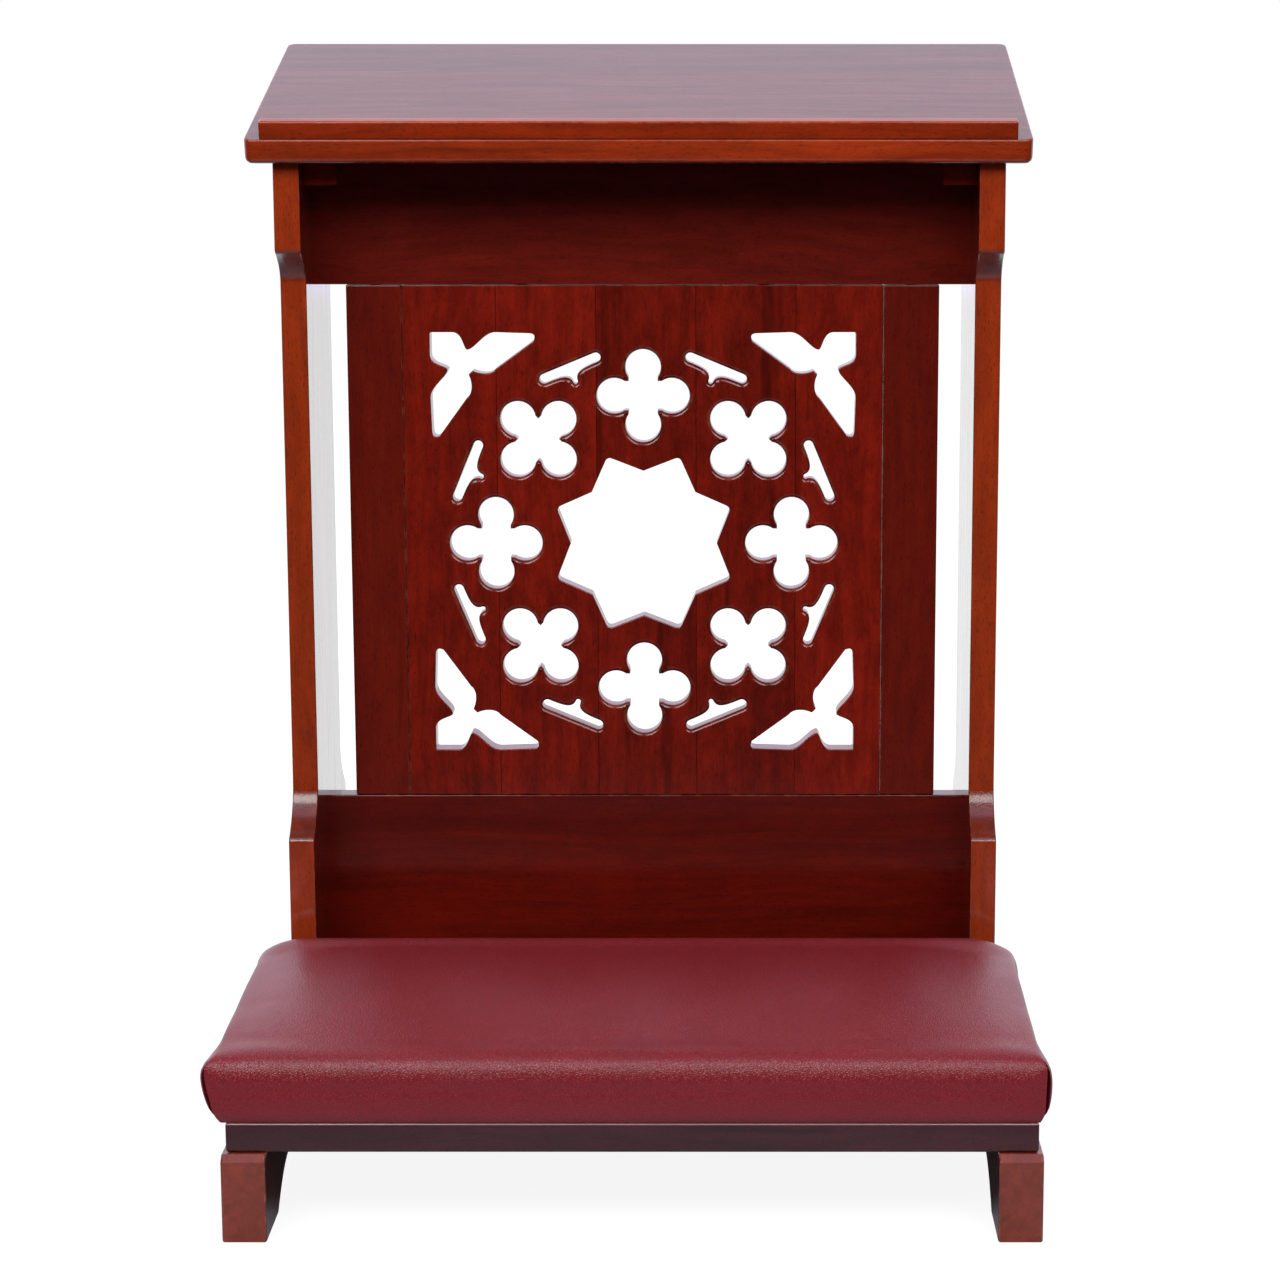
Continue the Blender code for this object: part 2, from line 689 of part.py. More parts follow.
def pad_cage(inset, foot, hem):
    """Coarse box with edge loops, crowned on top and drawn in at its sides and foot.

    The hem keeps only a rim of the underside. Heights are from the floor."""
    half_x = PAD_WIDTH / 2 - inset
    half_y = PAD_DEPTH / 2 - inset
    top = PAD_FOOT + PAD_EDGE_HEIGHT - inset
    size = Matrix.Diagonal((2 * half_x, 2 * half_y, top - foot, 1.0))
    middle = Matrix.Translation((0.0, 0.0, (top + foot) / 2))
    work = bmesh.new()
    bmesh.ops.create_cube(work, size=1.0, matrix=middle @ size)
    shoulder_x = half_x - PAD_SHOULDER
    shoulder_y = half_y - PAD_SHOULDER
    for share in loop_shares(PAD_LOOPS_ACROSS):
        cut_loop(work, (share * shoulder_x, 0.0, 0.0), (1.0, 0.0, 0.0))
    for share in loop_shares(PAD_LOOPS_DEEP):
        cut_loop(work, (0.0, share * shoulder_y, 0.0), (0.0, 1.0, 0.0))
    for height in (foot + PAD_TOE, top - PAD_TOP_ROUND):
        cut_loop(work, (0.0, 0.0, height), (0.0, 0.0, 1.0))
    if hem:
        inner = [face for face in work.faces if is_inside_hem(face, foot, shoulder_x, shoulder_y)]
        bmesh.ops.delete(work, geom=inner, context="FACES")
    for vert in work.verts:
        swell_x = 1 - (vert.co.y / half_y) ** 2
        swell_y = 1 - (vert.co.x / half_x) ** 2
        tuck = PAD_TUCK if vert.co.z < foot + FIT_GAP else 0.0
        if abs(vert.co.x) > half_x - FIT_GAP:
            vert.co.x -= math.copysign(PAD_WAIST * swell_x + tuck, vert.co.x)
        if abs(vert.co.y) > half_y - FIT_GAP:
            vert.co.y -= math.copysign(PAD_WAIST * swell_y + tuck, vert.co.y)
        if vert.co.z > top - FIT_GAP:
            vert.co.z += PAD_CROWN * swell_x * swell_y
    bmesh.ops.recalc_face_normals(work, faces=work.faces)
    mesh = bpy.data.meshes.new("pad_cage")
    work.to_mesh(mesh)
    work.free()
    return mesh


def is_inside_hem(face, foot, shoulder_x, shoulder_y):
    centre = face.calc_center_median()
    low = centre.z < foot + FIT_GAP
    return low and abs(centre.x) < shoulder_x and abs(centre.y) < shoulder_y


def soften(piece):
    subdivision = piece.modifiers.new("soft form", "SUBSURF")
    subdivision.levels = 1
    subdivision.render_levels = 1


def add_pad():
    setback = PAD_SETBACK + PAD_DEPTH / 2
    where = at(0.0, setback, 0.0)
    cover = place("pad_cover", pad_cage(0.0, PAD_FOOT, True), LEATHERETTE, where)
    soften(cover)
    shell = cover.modifiers.new("skin", "SOLIDIFY")
    shell.thickness = PAD_COVER_THICKNESS
    shell.offset = -1.0
    foam_inset = PAD_COVER_THICKNESS + FIT_GAP
    foam = place("pad_foam", pad_cage(foam_inset, PAD_FOAM_FOOT, False), FOAM, where)
    soften(foam)
    width = PAD_WIDTH - 2 * PAD_BASE_INSET
    depth = PAD_DEPTH - 2 * PAD_BASE_INSET
    base_mesh = box_mesh("pad_base", width, depth, PAD_BASE_THICKNESS)
    base_middle = PAD_BASE_FOOT + PAD_BASE_THICKNESS / 2
    return place("pad_base", base_mesh, PLYWOOD, at(0.0, setback, base_middle))


# Fasteners


def add_rail_dowels(rail, name, heights, side_boards):
    into_side = SIDE_THICKNESS - DOWEL_WALL
    for side, sign in SIDES:
        x = sign * (INNER_WIDTH / 2 + into_side - DOWEL_LENGTH / 2)
        for level, height in zip(("low", "high"), heights):
            where = at(x, RAIL_MIDDLE, height) @ POINT_LEFT
            add_dowel(f"{name}_dowel_{side}_{level}", where, (rail, side_boards[side]))


def add_panel_dowels(panel, stiles, upper_rail, lower_rail):
    ends = (("top", UPPER_RAIL_FOOT, upper_rail), ("foot", LOWER_RAIL_TOP, lower_rail))
    spots = []
    for side, sign in SIDES:
        spots.append((panel, "panel_" + side, sign * PANEL_DOWEL_SPREAD))
        spots.append((stiles[side], side + "_stile", sign * STILE_CENTRE))
    for piece, name, x in spots:
        for end, height, rail in ends:
            where = at(x, RAIL_MIDDLE, height)
            add_dowel(f"{name}_{end}_dowel", where, (piece, rail))


def add_runner_bolts(runners, side_boards):
    """Bolts up through the runners; their heads sit deep in counterbores."""
    length = BOLT_GRIP + BOLT_BITE
    head = RUNNER_HEIGHT - BOLT_GRIP
    profile = screw_profile(length, BOLT_DIAMETER, BOLT_HEAD_DIAMETER)
    hole = screw_hole_profile(length, BOLT_DIAMETER, BOLT_HEAD_DIAMETER, head + DRILL_RUN_OUT)
    ends = (("front", LOWER_FRONT + BOLT_INSET), ("rear", LOWER_BACK - BOLT_INSET))
    for side, sign in SIDES:
        for end, setback in ends:
            where = at(sign * SIDE_CENTRE, setback, head) @ POINT_UP
            pieces = (runners[side], side_boards[side])
            add_fastener(f"{side}_runner_bolt_{end}", profile, hole, where, STEEL, pieces)


def add_board_screws(board, runners):
    length = BOARD_THICKNESS + BOARD_SCREW_BITE
    ends = (("front", BOARD_SETBACK + BOARD_SCREW_INSET), ("rear", BOARD_BACK - BOARD_SCREW_INSET))
    for side, sign in SIDES:
        for end, setback in ends:
            where = at(sign * RUNNER_CENTRE, setback, BOARD_TOP) @ POINT_DOWN
            add_screw(f"{side}_board_screw_{end}", length, where, (board, runners[side]))


def add_pad_screws(base, board):
    length = PAD_BASE_FOOT - BOARD_FOOT + PAD_SCREW_BITE
    middle = PAD_SETBACK + PAD_DEPTH / 2
    reach = PAD_DEPTH / 2 - BOARD_SCREW_INSET
    for side, sign in SIDES:
        for end, setback in (("front", middle - reach), ("rear", middle + reach)):
            x = sign * (PAD_WIDTH / 2 - PAD_SCREW_INSET)
            where = at(x, setback, BOARD_FOOT) @ POINT_UP
            add_screw(f"{side}_pad_screw_{end}", length, where, (board, base))


def add_cleat_screws(cleats, desk, side_boards):
    """One screw from each cleat square into the desk, one level into the side board."""
    tilt = Matrix.Rotation(DESK_SLOPE, 4, "X")
    length = CLEAT_SIZE + CLEAT_SCREW_BITE
    for cleat, side, sign, front, back in cleats:
        third = (back - front) / 3
        x = sign * (INNER_WIDTH / 2 - FIT_GAP - CLEAT_SIZE / 2)
        setback = front + 2 * third
        foot = desk_underside(setback) - CLEAT_SIZE / DESK_RUN
        up = at(x, setback, foot) @ tilt @ POINT_UP
        add_screw(cleat.name + "_desk_screw", length, up, (cleat, desk))
        setback = front + third
        middle = desk_underside(setback) - CLEAT_SIZE / DESK_RUN / 2
        point = POINT_LEFT if sign < 0 else POINT_RIGHT
        inner = sign * (INNER_WIDTH / 2 - FIT_GAP - CLEAT_SIZE)
        out = at(inner, setback, middle) @ point
        add_screw(cleat.name + "_side_screw", length, out, (cleat, side_boards[side]))


def add_ledge_screws(desk, ledge):
    frame = desk_matrix()
    y = LEDGE_SETBACK + LEDGE_THICKNESS / 2
    length = DESK_THICKNESS + LEDGE_SCREW_BITE
    spots = (("left", -LEDGE_SCREW_SPREAD), ("middle", 0.0), ("right", LEDGE_SCREW_SPREAD))
    for name, x in spots:
        where = frame @ Matrix.Translation((x, y, -DESK_THICKNESS)) @ POINT_UP
        add_screw("ledge_screw_" + name, length, where, (desk, ledge))


def build_kneeler():
    runners = add_runners()
    side_boards = add_side_boards()
    upper_rail, lower_rail = add_rails()
    panel, stiles = add_panel()
    desk, ledge = add_desk()
    cleats = add_cleats()
    board = add_kneeling_board()
    pad_base = add_pad()
    upper_rail_top = desk_underside(RAIL_FRONT)
    upper_heights = (UPPER_RAIL_FOOT + RAIL_DOWEL_INSET, upper_rail_top - 2 * RAIL_DOWEL_INSET)
    lower_heights = (LOWER_RAIL_FOOT + RAIL_DOWEL_INSET, LOWER_RAIL_TOP - RAIL_DOWEL_INSET)
    add_rail_dowels(upper_rail, "upper_rail", upper_heights, side_boards)
    add_rail_dowels(lower_rail, "lower_rail", lower_heights, side_boards)
    add_panel_dowels(panel, stiles, upper_rail, lower_rail)
    add_runner_bolts(runners, side_boards)
    add_board_screws(board, runners)
    add_pad_screws(pad_base, board)
    add_cleat_screws(cleats, desk, side_boards)
    add_ledge_screws(desk, ledge)


build_kneeler()
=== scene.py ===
"""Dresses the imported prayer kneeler: lacquered mahogany, Gothic fretwork and a leatherette pad."""

import math

import bmesh
import bpy
from bpy.props import FloatProperty, FloatVectorProperty, IntProperty, PointerProperty
from mathutils import Matrix, Vector


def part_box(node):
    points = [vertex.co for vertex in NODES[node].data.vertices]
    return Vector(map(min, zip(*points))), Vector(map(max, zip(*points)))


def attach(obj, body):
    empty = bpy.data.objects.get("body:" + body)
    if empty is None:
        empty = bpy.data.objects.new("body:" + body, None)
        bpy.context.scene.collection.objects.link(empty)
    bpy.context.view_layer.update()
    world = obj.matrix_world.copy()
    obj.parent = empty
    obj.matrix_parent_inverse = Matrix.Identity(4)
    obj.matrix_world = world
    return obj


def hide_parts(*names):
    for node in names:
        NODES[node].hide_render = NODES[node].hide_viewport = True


bl_info = {
    "name": "Prayer Kneeler",
    "version": (1, 0, 0),
    "blender": (4, 5, 0),
    "location": "View3D > Sidebar > Kneeler",
    "description": "Dresses a packed prayer kneeler in lacquered mahogany and leatherette",
    "category": "Object",
}

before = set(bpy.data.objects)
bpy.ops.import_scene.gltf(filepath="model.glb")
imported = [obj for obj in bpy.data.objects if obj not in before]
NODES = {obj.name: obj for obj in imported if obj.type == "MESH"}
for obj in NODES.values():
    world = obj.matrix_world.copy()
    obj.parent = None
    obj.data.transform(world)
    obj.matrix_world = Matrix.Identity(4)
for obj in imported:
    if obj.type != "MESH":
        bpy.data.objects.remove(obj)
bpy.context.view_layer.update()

SIDES = (("left", -1), ("right", 1))

# Turn of a sawn outline, by the direction that the board's faces look in
FACING = {
    "X": Matrix.Rotation(math.pi / 2, 4, "Z") @ Matrix.Rotation(math.pi / 2, 4, "X"),
    "Y": Matrix.Rotation(math.pi / 2, 4, "X"),
    "Z": Matrix.Identity(4),
}

CURVE_STEPS = 24
CORNER_STEPS = 4
ARRIS_STEPS = 3
SMOOTH_ANGLE = math.radians(38)
MITRE_LIMIT = 0.3


# Settings


def setting(kind, **options):
    """Maker of settings of one kind, each with its own name, default and description."""

    def make(name, default, description):
        return kind(name=name, default=default, description=description, **options)

    return make


size_value = setting(FloatProperty, unit="LENGTH", precision=4)
angle_value = setting(FloatProperty, subtype="ANGLE")
share_value = setting(FloatProperty, min=0.0, max=1.0, subtype="FACTOR")
number_value = setting(FloatProperty, min=0.0)
count_value = setting(IntProperty, min=3)
colour_value = setting(FloatVectorProperty, size=3, min=0.0, max=1.0, subtype="COLOR")
place_value = setting(FloatVectorProperty, size=3, subtype="TRANSLATION")


class KneelerDesk(bpy.types.PropertyGroup):
    """Desk top and book ledge."""

    slope: angle_value("Slope", math.radians(15.6), "Tilt of the desk top towards the reader")
    front: size_value("Front", 0.00507, "Place of the desk's upper front edge, front to back")
    height: size_value("Height", 0.72068, "Height of the desk's upper front edge")
    width: size_value("Width", 0.561144, "Width of the desk top")
    length: size_value("Length", 0.259, "Length of the desk top along its slope")
    thickness: size_value("Thickness", 0.0185, "Thickness of the desk top")
    corner: size_value("Corner", 0.007, "Radius of the desk top's corners in plan")
    upper_arris: size_value("Upper arris", 0.0014, "Rounding of the upper edge")
    lower_arris: size_value("Lower arris", 0.0048, "Rounding of the lower edge")
    ledge_inset: size_value("Ledge inset", 0.011, "How far the ledge stops short of the desk's ends")
    ledge_setback: size_value("Ledge setback", 0.003, "How far the ledge stands behind the front edge")
    ledge_depth: size_value("Ledge depth", 0.011, "Depth of the ledge")
    ledge_height: size_value("Ledge height", 0.0125, "Height of the ledge")
    ledge_arris: size_value("Ledge arris", 0.0016, "Rounding of the ledge's edges")


class KneelerBoards(bpy.types.PropertyGroup):
    """Side boards, rails, runners and kneeling board."""

    arris: size_value("Arris", 0.0011, "Rounding of sawn edges")
    waist_front: size_value("Waist front", 0.04857, "Front of the narrow waist of a side board")
    waist_depth: size_value("Waist depth", 0.139, "Depth of the waist")
    lower_step: size_value("Lower step", 0.029, "How far the lower block stands before the waist")
    upper_step: size_value("Upper step", 0.0255, "How far the upper block stands before the waist")
    lower_block_top: size_value("Lower block top", 0.2055, "Height where the lower S-curve starts")
    waist_foot: size_value("Waist foot", 0.245, "Height where the lower S-curve ends")
    waist_top: size_value("Waist top", 0.616, "Height where the upper S-curve starts")
    upper_block_foot: size_value("Upper block foot", 0.642, "Height where the upper S-curve ends")
    fit_gap: size_value("Fit gap", 0.0003, "Room that the packed pieces leave between them")
    foot: size_value("Foot", 0.055, "Length of a runner's flat foot")
    ramp: size_value("Ramp", 0.060, "Length over which a runner's arch rises")
    relief: size_value("Relief", 0.025, "Height of a runner's arch")
    chamfer: size_value("Chamfer", 0.0045, "Chamfer at a runner's ends")
    runner_arris: size_value("Runner arris", 0.0016, "Rounding of a runner's edges")
    kneeling_corner: size_value("Kneeling board corner", 0.002, "Radius of the kneeling board's corners")
    kneeling_arris: size_value("Kneeling board arris", 0.0024, "Rounding of the kneeling board's edges")


class KneelerTracery(bpy.types.PropertyGroup):
    """Cut-outs of the fretwork panel."""

    star_points: count_value("Star points", 8, "Points of the star")
    star_radius: size_value("Star radius", 0.0708, "Radius to the star's points")
    star_notch: size_value("Star notch", 0.0549, "Radius to the star's notches")
    star_round: size_value("Star rounding", 0.0030, "Rounding of the star's points")
    ring_bar: size_value("Ring bar", 0.0216, "Wood between the star and the quatrefoils")
    quatrefoils: count_value("Quatrefoils", 8, "Quatrefoils round the star")
    lobe_radius: size_value("Lobe radius", 0.0132, "Radius of a quatrefoil's lobes")
    lobe_bar: size_value("Lobe bar", 0.004, "Width of the cusps between lobes")
    lobe_sweep: angle_value("Lobe sweep", math.radians(125), "Half the turn of a lobe's arc")
    spandrel_rise: size_value("Spandrel rise", 0.035, "From the ring to the spandrels' straight side")
    spandrel_half: size_value("Spandrel half length", 0.0244, "Half the length of a spandrel")
    spandrel_tip: size_value("Spandrel tip", 0.0036, "Width of a spandrel's cusp")
    spandrel_depth: size_value("Spandrel depth", 0.0160, "Depth of a spandrel at its cusp")
    spandrel_end: size_value("Spandrel end", 0.0070, "Width of a spandrel's round ends")
    corner_bar: size_value("Corner bar", 0.0125, "Wood outside the spandrels, up to the square of leaves")
    leaf_length: size_value("Leaf length", 0.0786, "From the corner to the tip of a long leaf")
    leaf_crest: size_value("Leaf crest", 0.049, "Where a long leaf reaches the square's side")
    leaf_belly: size_value("Leaf belly", 0.030, "Depth of a long leaf")
    leaf_tip: size_value("Leaf tip", 0.0065, "Width of a long leaf's tip")
    leaf_notch: size_value("Leaf notch", 0.013, "Depth of the notch between leaves")
    corner_lobe: size_value("Corner lobe", 0.0275, "Size of the leaf in the corner")
    lobe_shoulder: size_value("Lobe shoulder", 0.0165, "Straight run of the corner leaf")
    corner_round: size_value("Corner rounding", 0.003, "Rounding of the leaves")
    rim: size_value("Rim", 0.0009, "Rounding of the panel, the stiles, the star and the leaves")
    round_over: size_value("Round-over", 0.0032, "Rounding of the edges of the quatrefoils and spandrels")


class KneelerPad(bpy.types.PropertyGroup):
    """Kneeling pad."""

    shoulder: size_value("Shoulder", 0.0300, "Height of the pad's upright front")
    top_round: size_value("Top rounding", 0.0175, "How far back the rounding of the long edges reaches")
    edge_rise: size_value("Edge rise", 0.0172, "Rise of the rounding of the long edges")
    crown: size_value("Crown", 0.0155, "Rise of the top from its front to its back")
    ear: size_value("Ear", 0.0090, "How much higher the upright front ends at its corners")
    ear_reach: size_value("Ear reach", 0.012, "Width of the raised corners")
    ear_depth: size_value("Ear depth", 0.010, "How far back a raised corner stands out from the pad's end")
    end_fall: size_value("End fall", 0.0106, "Fall of the top towards its ends")
    end_reach: size_value("End reach", 0.038, "Width over which the top falls")
    end_ramp: size_value("End ramp", 0.100, "Distance from the front where the fall is whole")
    left_reach: size_value("Left reach", 0.0070, "How far the left end stands out beyond the packed pad")
    right_reach: size_value("Right reach", -0.0010, "How far the right end stands out beyond the packed pad")
    left_inset: size_value("Left inset", 0.0054, "How far the left end leans in at its top")
    right_inset: size_value("Right inset", 0.0036, "How far the right end leans in at its top")
    toe_round: size_value("Toe rounding", 0.0028, "Rounding of the lower edges")
    left_lean: size_value("Left lean", 0.0070, "How far the left end leans in at its foot")
    right_lean: size_value("Right lean", 0.0012, "How far the right end leans in at its foot")
    left_fold: size_value("Left fold", 0.0060, "How far a folded corner stands out from the left end")
    right_fold: size_value("Right fold", 0.0052, "How far a folded corner stands out from the right end")
    spacing: size_value("Spacing", 0.008, "Distance between points of the cloth")
    slack: size_value("Slack", 0.0044, "How much lower the pad's top is before it swells")
    side_slack: size_value("Side slack", 0.0012, "How much narrower the pad is before it swells")
    swell_cap: size_value("Swell cap", 0.0050, "Most that any point moves while the pad swells")
    pressure: number_value("Pressure", 4.0, "Pressure inside the pad while it swells")
    frames: count_value("Frames", 20, "Frames of swelling")
    fill: share_value("Fill", 0.85, "How tightly the pad is filled")


class KneelerFinish(bpy.types.PropertyGroup):
    """Colours and gloss."""

    # Desk top faces take the dark tone and its edges the light one: painted shade and painted light
    desk: colour_value("Desk", (0.098, 0.016, 0.012), "Middle tone of the desk top")
    desk_lit_edge: colour_value("Desk edge", (0.370, 0.036, 0.006), "Middle tone of the desk top's edges")
    ledge: colour_value("Ledge", (0.245, 0.021, 0.003), "Middle tone of the book ledge")
    # Wide faces of the side boards in a dark tone and edges in a light one: painted shade and painted light
    side: colour_value("Side boards", (0.110, 0.010, 0.005), "Middle tone of the side boards' faces")
    side_lit_edge: colour_value("Side edges", (0.290, 0.031, 0.006), "Middle tone of the side boards' edges")
    panel: colour_value("Panel", (0.162, 0.0074, 0.0024), "Middle tone of the fretwork panel")
    stile: colour_value("Stiles", (0.128, 0.0075, 0.0028), "Middle tone of the stiles")
    upper_rail: colour_value("Upper rail", (0.128, 0.0075, 0.0034), "Middle tone of the upper rail")
    lower_rail: colour_value("Lower rail", (0.102, 0.0042, 0.0012), "Middle tone of the lower rail")
    # Runner faces in a dark tone and ends in a light one: painted shade on the faces, painted light on the
    # ends
    runner: colour_value("Runners", (0.060, 0.010, 0.009), "Middle tone of the runners' faces")
    runner_lit_end: colour_value("Runner ends", (0.195, 0.030, 0.013), "Middle tone of the runners' ends")
    kneeling_board: colour_value("Kneeling board", (0.041, 0.0055, 0.0066), "Middle tone of its faces")
    bare_wood: colour_value("Bare wood", (0.330, 0.130, 0.060), "Wood where the lacquer has worn through")
    # Painted highlight colour for the kneeling board's upper arris
    edge_highlight_tone: colour_value("Raw edge", (0.80, 0.46, 0.40), "Upper edge of the kneeling board")
    leather: colour_value("Leatherette", (0.235, 0.0134, 0.0211), "Middle tone of the pad")
    lacquer: share_value("Lacquer", 0.9, "Weight of the clear coat")
    lacquer_roughness: share_value("Lacquer roughness", 0.14, "Roughness of the clear coat")


class KneelerStage(bpy.types.PropertyGroup):
    """Camera, lamps and floor."""

    camera: place_value("Camera", (0.065, -2.2578, 0.7657), "Place of the camera")
    pitch: angle_value("Pitch", math.radians(10.145), "How far the camera looks down")
    lens: number_value("Lens", 88.73, "Focal length in millimetres")
    shift: FloatProperty(name="Shift", description="Sideways shift of the picture", default=-0.0704)
    overhead: number_value("Overhead softbox", 34.0, "Power of the softbox above")
    tint: colour_value("Tint", (0.89, 0.85, 1.0), "Colour of the softbox above and the wall behind")
    strip: number_value("Strip softbox", 9.5, "Power of the narrow softbox above the pad")
    strip_tint: colour_value("Strip tint", (0.84, 0.72, 1.0), "Colour of the narrow softbox")
    wall: number_value("Wall", 1.24, "Brightness of the wall behind in reflections")
    left: number_value("Left softbox", 41.0, "Power of the softbox at the front left")
    right: number_value("Right softbox", 34.5, "Power of the softbox at the front right")
    ambient: number_value("Ambient", 0.22, "Strength of the light from all round")
    floor_radius: size_value("Floor radius", 9.0, "Radius of the floor")


class KneelerSettings(bpy.types.PropertyGroup):
    """All settings of the kneeler."""

    desk: PointerProperty(type=KneelerDesk, name="Desk", description="Desk top and book ledge")
    boards: PointerProperty(type=KneelerBoards, name="Boards", description="Sawn boards")
    tracery: PointerProperty(type=KneelerTracery, name="Tracery", description="Cut-outs of the panel")
    pad: PointerProperty(type=KneelerPad, name="Pad", description="Kneeling pad")
    finish: PointerProperty(type=KneelerFinish, name="Finish", description="Colours and gloss")
    stage: PointerProperty(type=KneelerStage, name="Stage", description="Camera, lamps and floor")


# Outlines


def blend(start, end, share):
    return start + (end - start) * share


def polar(radius, angle):
    return (radius * math.cos(angle), radius * math.sin(angle))


def arc(centre, radius, start, end, steps):
    points = []
    for step in range(steps + 1):
        u, v = polar(radius, blend(start, end, step / steps))
        points.append((centre[0] + u, centre[1] + v))
    return points


def sweep(start, bend_from, bend_to, end):
    """Cubic curve from start up to, but without, its end."""
    points = []
    for step in range(CURVE_STEPS):
        share = step / CURVE_STEPS
        rest = 1 - share
        weights = (rest**3, 3 * rest**2 * share, 3 * rest * share**2, share**3)
        knots = (start, bend_from, bend_to, end)
        points.append(tuple(sum(w * knot[k] for w, knot in zip(weights, knots)) for k in (0, 1)))
    return points


# Lip of a cove as a share of its height, and the power of the hollow after it
COVE_LIP = 0.12
COVE_POWER = 2.1


def cove(block, waist):
    """Lip at the edge of a block, then a hollow that runs out along the waist."""
    points = []
    for step in range(CURVE_STEPS + 1):
        share = step / CURVE_STEPS
        past_lip = share - COVE_LIP / 2 if share > COVE_LIP else share * share / (2 * COVE_LIP)
        ease = 1 - (1 - past_lip / (1 - COVE_LIP / 2)) ** COVE_POWER
        points.append((blend(block[0], waist[0], ease), blend(block[1], waist[1], share)))
    return points


def mirrored(points):
    """The same outline with its two directions swapped, walked backwards."""
    return [(second, first) for first, second in reversed(points)]


def turn(points, angle, offset=(0.0, 0.0)):
    cosine = math.cos(angle)
    sine = math.sin(angle)
    turned = []
    for u, v in points:
        u += offset[0]
        v += offset[1]
        turned.append((u * cosine - v * sine, u * sine + v * cosine))
    return turned


def rectangle(low, high):
    return [(low[0], low[1]), (high[0], low[1]), (high[0], high[1]), (low[0], high[1])]


def rounded(points, radii):
    """Outline with each corner swept round, by one radius or by one for each corner."""
    radii = radii if isinstance(radii, list) else [radii] * len(points)
    result = []
    for number, (point, radius) in enumerate(zip(points, radii)):
        corner = Vector(point)
        before = Vector(points[number - 1]) - corner
        after = Vector(points[(number + 1) % len(points)]) - corner
        half = before.angle(after) / 2
        reach = min(radius / math.tan(half), before.length / 2, after.length / 2)
        start = corner + before.normalized() * reach
        end = corner + after.normalized() * reach
        for step in range(CORNER_STEPS + 1):
            share = step / CORNER_STEPS
            bend = start * (1 - share) ** 2 + corner * 2 * share * (1 - share) + end * share**2
            result.append((bend.x, bend.y))
    return result


def signed_area(points):
    total = 0.0
    for number, (u, v) in enumerate(points):
        before = points[number - 1]
        total += before[0] * v - u * before[1]
    return total / 2


def shifted(points, distance):
    """Outline moved to its left by a distance, with mitred corners."""
    moved = []
    for number, point in enumerate(points):
        here = Vector(point)
        before = (here - Vector(points[number - 1])).normalized()
        after = (Vector(points[(number + 1) % len(points)]) - here).normalized()
        normal = Vector((-before.y - after.y, before.x + after.x)) / 2
        moved.append(here + normal * (distance / max(normal.length_squared, MITRE_LIMIT)))
    return moved


def star_outline(tracery):
    points = []
    for number in range(2 * tracery.star_points):
        radius = tracery.star_radius if number % 2 else tracery.star_notch
        points.append(polar(radius, number * math.pi / tracery.star_points))
    radii = [tracery.star_round * (number % 2) + tracery.rim for number in range(len(points))]
    return rounded(points, radii)


def lobe_offset(tracery):
    return (tracery.lobe_radius + tracery.lobe_bar / 2) * math.sqrt(2)


def ring_radius(tracery):
    return tracery.star_notch + tracery.ring_bar + lobe_offset(tracery) + tracery.lobe_radius


def quatrefoil_outline(tracery):
    """Four round lobes with a blunt cusp between each pair."""
    points = []
    reach = lobe_offset(tracery)
    for number in range(4):
        outward = number * math.pi / 2
        centre = polar(reach, outward)
        sweep_from, sweep_to = outward - tracery.lobe_sweep, outward + tracery.lobe_sweep
        points += arc(centre, tracery.lobe_radius, sweep_from, sweep_to, CURVE_STEPS)
        points.append(polar(reach * math.cos(math.pi / 4), outward + math.pi / 4))
    return points


def spandrel_outline(tracery):
    """Sliver along a tangent: straight outside, two hollows and a cusp inside, round ends."""
    outer = ring_radius(tracery) + tracery.spandrel_rise
    inner = outer - tracery.spandrel_end
    tip = outer - tracery.spandrel_depth
    end_radius = tracery.spandrel_end / 2
    end_centre = tracery.spandrel_half - end_radius
    hollow = end_centre / 2
    near = arc((outer - end_radius, end_centre), end_radius, 0.0, math.pi, CURVE_STEPS // 2)
    far = arc((outer - end_radius, -end_centre), end_radius, math.pi, 2 * math.pi, CURVE_STEPS // 2)
    blunt = tracery.spandrel_tip / 2
    cusp = arc((tip + blunt, 0.0), blunt, math.pi / 2, 1.5 * math.pi, CURVE_STEPS // 2)
    inward = sweep(near[-1], (inner, hollow), (inner, blunt), cusp[0])
    outward = sweep(cusp[-1], (inner, -blunt), (inner, -hollow), far[0])
    return near + inward[1:] + cusp + outward[1:] + far


def leaf_outline(tracery):
    """Three leaves in a corner: a squarish one in the corner itself and two long ones."""
    ease = tracery.corner_round
    shoulder = (tracery.lobe_shoulder, 0.0)
    notch = (tracery.corner_lobe, tracery.leaf_notch)
    crest = (tracery.leaf_crest, 0.0)
    tip_start = (tracery.leaf_length - 2 * ease, ease / 4)
    tip = (tracery.leaf_length, ease)
    tip_end = (tracery.leaf_length - ease / 2, tracery.leaf_tip)
    belly = (tracery.leaf_crest, tracery.leaf_belly - ease)
    cusp = (tracery.leaf_belly + ease / 2, tracery.leaf_belly - ease / 2)
    lobe_bend = tracery.corner_lobe - ease
    bulge = tracery.leaf_belly + ease / 2
    rise = (tracery.corner_lobe + 2 * ease, tracery.leaf_notch)
    corner = sweep((0.0, ease), (0.0, 0.0), (0.0, 0.0), (ease, 0.0))
    half = corner[CURVE_STEPS // 2:]
    half += sweep(shoulder, (lobe_bend, 0.0), (lobe_bend, tracery.leaf_notch - ease / 2), notch)
    half += sweep(notch, rise, (crest[0] - 3 * ease, 0.0), crest)
    half += [crest]
    half += sweep(tip_start, (tracery.leaf_length, ease / 4), tip, tip_end)
    half += [tip_end]
    half += sweep(belly, (tracery.leaf_crest - ease, bulge), (cusp[0] + 2 * ease, bulge), cusp)
    half += [cusp]
    return half + mirrored(half)[:-1]


